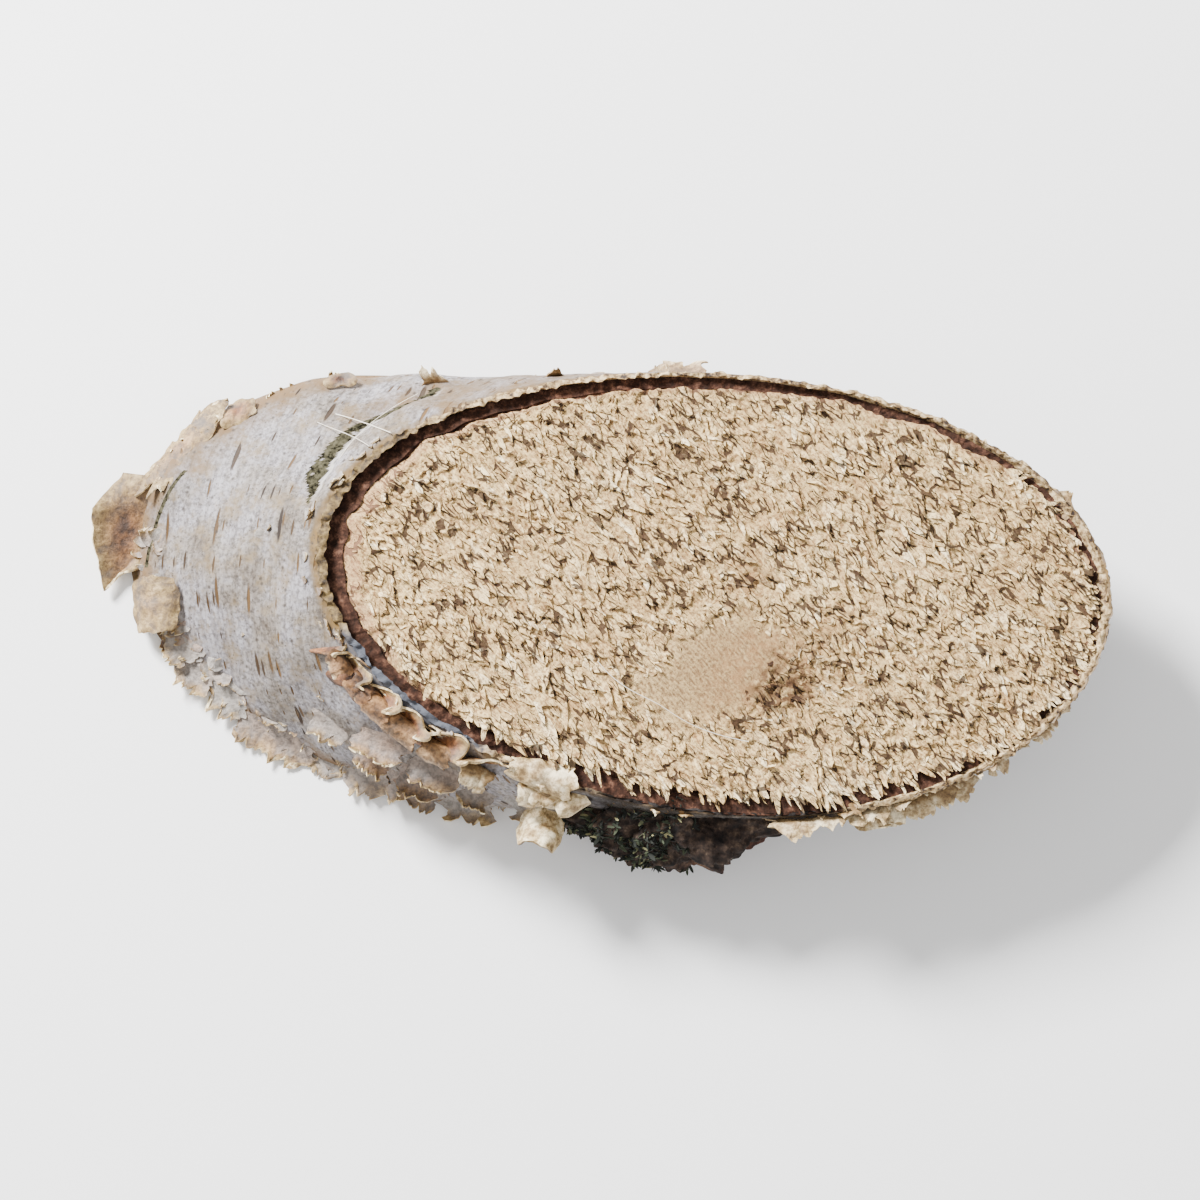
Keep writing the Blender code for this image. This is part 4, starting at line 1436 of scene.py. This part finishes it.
class BIRCH_OT_peels(bpy.types.Operator):
    """Make the tongues of bark that peel off the wall, and the small torn scraps between them"""

    bl_idname = "birch_slice.peels"
    bl_label = "Peeling bark"

    def execute(self, context):
        branch = Branch(context.scene.birch_slice_sizes)
        colours = context.scene.birch_slice_colours
        finish = [peel_outside(colours), peel_inside(colours)]
        for name, specs in (("peeling_tongues", [*PEELS, *loose_peels()]), ("bark_scraps", scraps())):
            parts = [make_peel(branch, number, spec) for number, spec in enumerate(specs)]
            if name == "peeling_tongues":
                parts += [make_ruffle(branch), make_flap(branch)]
                parts += [make_shell(number, spec) for number, spec in enumerate(SHELLS)]
            piece = join_pieces(name, parts)
            sides = [face.material_index for face in piece.data.polygons]
            finish_piece(piece, finish, 60)
            piece.data.polygons.foreach_set("material_index", sides)
        return {"FINISHED"}


# The knot and the threads


def place_tufts(knot):
    """Moss in clumps over the knot's upper left: each tuft's matrix and lot."""
    draw = random.Random(MOSS_SEED)
    placed = []
    for vert in draw.sample(list(knot.data.vertices), MOSS_SPOTS):
        lift = vert.normal
        right = smooth_step(vert.co.x, 27 * MM, 33 * MM)
        if lift.y > 0.3 or vert.co.z < 7 * MM or noise.noise(vert.co / (3 * MM)) < -0.15 + right:
            continue
        turn = lift.to_track_quat("X", "Z").to_matrix().to_4x4()
        nod, sway = draw.uniform(-1.2, 1.2), draw.uniform(-1.2, 1.2)
        lean = Matrix.Rotation(nod, 4, "Y") @ Matrix.Rotation(sway, 4, "Z")
        size = draw.triangular(0.4, 1.5, 0.6) * MM
        thick = draw.uniform(0.25, 0.5) * size
        matrix = Matrix.Translation(vert.co) @ turn @ lean @ Matrix.Diagonal((size, thick, thick, 1))
        placed.append((matrix, draw.random() ** 1.8))
    return placed


class BIRCH_OT_knot(bpy.types.Operator):
    """Make the crusted knot at the front, with its moss"""

    bl_idname = "birch_slice.knot"
    bl_label = "Knot"

    def execute(self, context):
        branch = Branch(context.scene.birch_slice_sizes)
        middle = branch.bark_frame(math.radians(KNOT_ANGLE), KNOT_HEIGHT / branch.thickness)[0]

        def place(co):
            reach = Vector(a * b for a, b in zip(co, KNOT_HALF_SIZES))
            lump = 1
            for spacing, share in KNOT_LUMPS:
                lump += share * noise.noise((middle + reach) / spacing)
            point = middle + reach * lump
            low = 1 - smooth_step(point.z, 5 * MM, 10 * MM)
            return point, {"red": low * smooth_step(noise.noise(point / (4 * MM)), -0.5, 0.2)}

        knot = start_piece("knot", bpy.ops.mesh.primitive_ico_sphere_add, subdivisions=7, radius=1)
        place_points(knot, place)
        tufts = copies("knot_moss", splinter(), place_tufts(knot), ("lot",))
        colours = context.scene.birch_slice_colours
        finish_piece(knot, [knot_crust(colours)], 60)
        finish_piece(tufts, [moss(colours)], 50)
        return {"FINISHED"}


def make_thread(radius, points):
    """A thread of one radius through points: a path with a round bevel, made a mesh."""
    thread = start_piece("thread", bpy.ops.curve.primitive_nurbs_path_add)
    curve = thread.data
    curve.splines.clear()
    spline = curve.splines.new("NURBS")
    spline.points.add(len(points) - 1)
    for spot, point in zip(spline.points, points):
        spot.co = (*point, 1)
    spline.order_u, spline.resolution_u, spline.use_endpoint_u = 4, 10, True
    curve.bevel_depth, curve.bevel_resolution, curve.use_fill_caps = radius * MM, 2, True
    bpy.ops.object.convert(target="MESH")
    return bpy.context.object


class BIRCH_OT_threads(bpy.types.Operator):
    """Lay a few fine white threads across the crease and the cut"""

    bl_idname = "birch_slice.threads"
    bl_label = "Threads"

    def execute(self, context):
        branch = Branch(context.scene.birch_slice_sizes)
        threads = []
        for radius, stops in BARK_THREADS:
            frames = [branch.bark_frame(math.radians(angle), height) for angle, height in stops]
            points = [spot + outward * BARK_THREAD_LIFT for spot, outward, _ in frames]
            threads.append(make_thread(radius, points))
        radius, stops = CUT_THREAD
        height = branch.thickness + CUT_THREAD_LIFT
        threads.append(make_thread(radius, [Vector((x * MM, y * MM, height)) for x, y in stops]))
        finish_piece(join_pieces("white_threads", threads), [silk()], 60)
        return {"FINISHED"}


# The stage


def add_light(name, place, size, power):
    """A soft square light that faces the slice."""
    clear_selection()
    bpy.ops.object.light_add(type="AREA", location=place)
    light = bpy.context.object
    light.name = name
    light.data.size = size
    light.data.energy = power
    light.rotation_euler = (-Vector(place)).to_track_quat("-Z", "Y").to_euler()


class BIRCH_OT_stage(bpy.types.Operator):
    """Make the pale floor, the soft lights and the camera"""

    bl_idname = "birch_slice.stage"
    bl_label = "Floor, lights and camera"

    def execute(self, context):
        scene = context.scene
        floor = start_piece("floor", bpy.ops.mesh.primitive_plane_add, size=6)
        floor.data.materials.append(pale_floor(scene.birch_slice_colours))

        world = bpy.data.worlds.new("soft studio")
        world.use_nodes = True
        tree = world.node_tree
        set_inputs(tree, tree.nodes["Background"], {"Color": "ffffff", "Strength": 0.92})
        scene.world = world
        for light in LIGHTS:
            add_light(*light)

        back = Vector((
            math.sin(CAMERA_AZIMUTH) * math.cos(CAMERA_ELEVATION),
            -math.cos(CAMERA_AZIMUTH) * math.cos(CAMERA_ELEVATION),
            math.sin(CAMERA_ELEVATION),
        ))
        low, high = CAD_BOX
        bpy.ops.object.camera_add(location=(low + high) / 2 + back * CAMERA_DISTANCE)
        camera = bpy.context.object
        camera.rotation_euler = (-back).to_track_quat("-Z", "Y").to_euler()
        camera.data.lens = CAMERA_LENS
        camera.data.clip_start, camera.data.clip_end = 0.01, 20
        scene.camera = camera
        return {"FINISHED"}


class BIRCH_PT_panel(bpy.types.Panel):
    """The slice's settings and the buttons that make its pieces"""

    bl_idname = "BIRCH_PT_panel"
    bl_label = "Birch wood slice"
    bl_space_type = "VIEW_3D"
    bl_region_type = "UI"
    bl_category = "Birch slice"

    def draw(self, context):
        for group in (context.scene.birch_slice_sizes, context.scene.birch_slice_colours):
            box = self.layout.box()
            for name in group.__annotations__:
                box.prop(group, name)
        for operator in OPERATORS:
            self.layout.operator(operator.bl_idname)


OPERATORS = (
    BIRCH_OT_wood,
    BIRCH_OT_fibres,
    BIRCH_OT_inner_bark,
    BIRCH_OT_papery_bark,
    BIRCH_OT_peels,
    BIRCH_OT_knot,
    BIRCH_OT_threads,
    BIRCH_OT_stage,
)
CLASSES = (SliceSizes, SliceColours, *OPERATORS, BIRCH_PT_panel)


def register():
    noise.seed_set(NOISE_SEED)
    for cls in CLASSES:
        bpy.utils.register_class(cls)
    bpy.types.Scene.birch_slice_sizes = bpy.props.PointerProperty(type=SliceSizes)
    bpy.types.Scene.birch_slice_colours = bpy.props.PointerProperty(type=SliceColours)


def unregister():
    del bpy.types.Scene.birch_slice_colours
    del bpy.types.Scene.birch_slice_sizes
    for cls in reversed(CLASSES):
        bpy.utils.unregister_class(cls)


def main():
    """Makes every piece and the stage."""
    register()
    for operator in OPERATORS:
        group, name = operator.bl_idname.split(".")
        getattr(getattr(bpy.ops, group), name)()


if __name__ == "__main__":
    main()
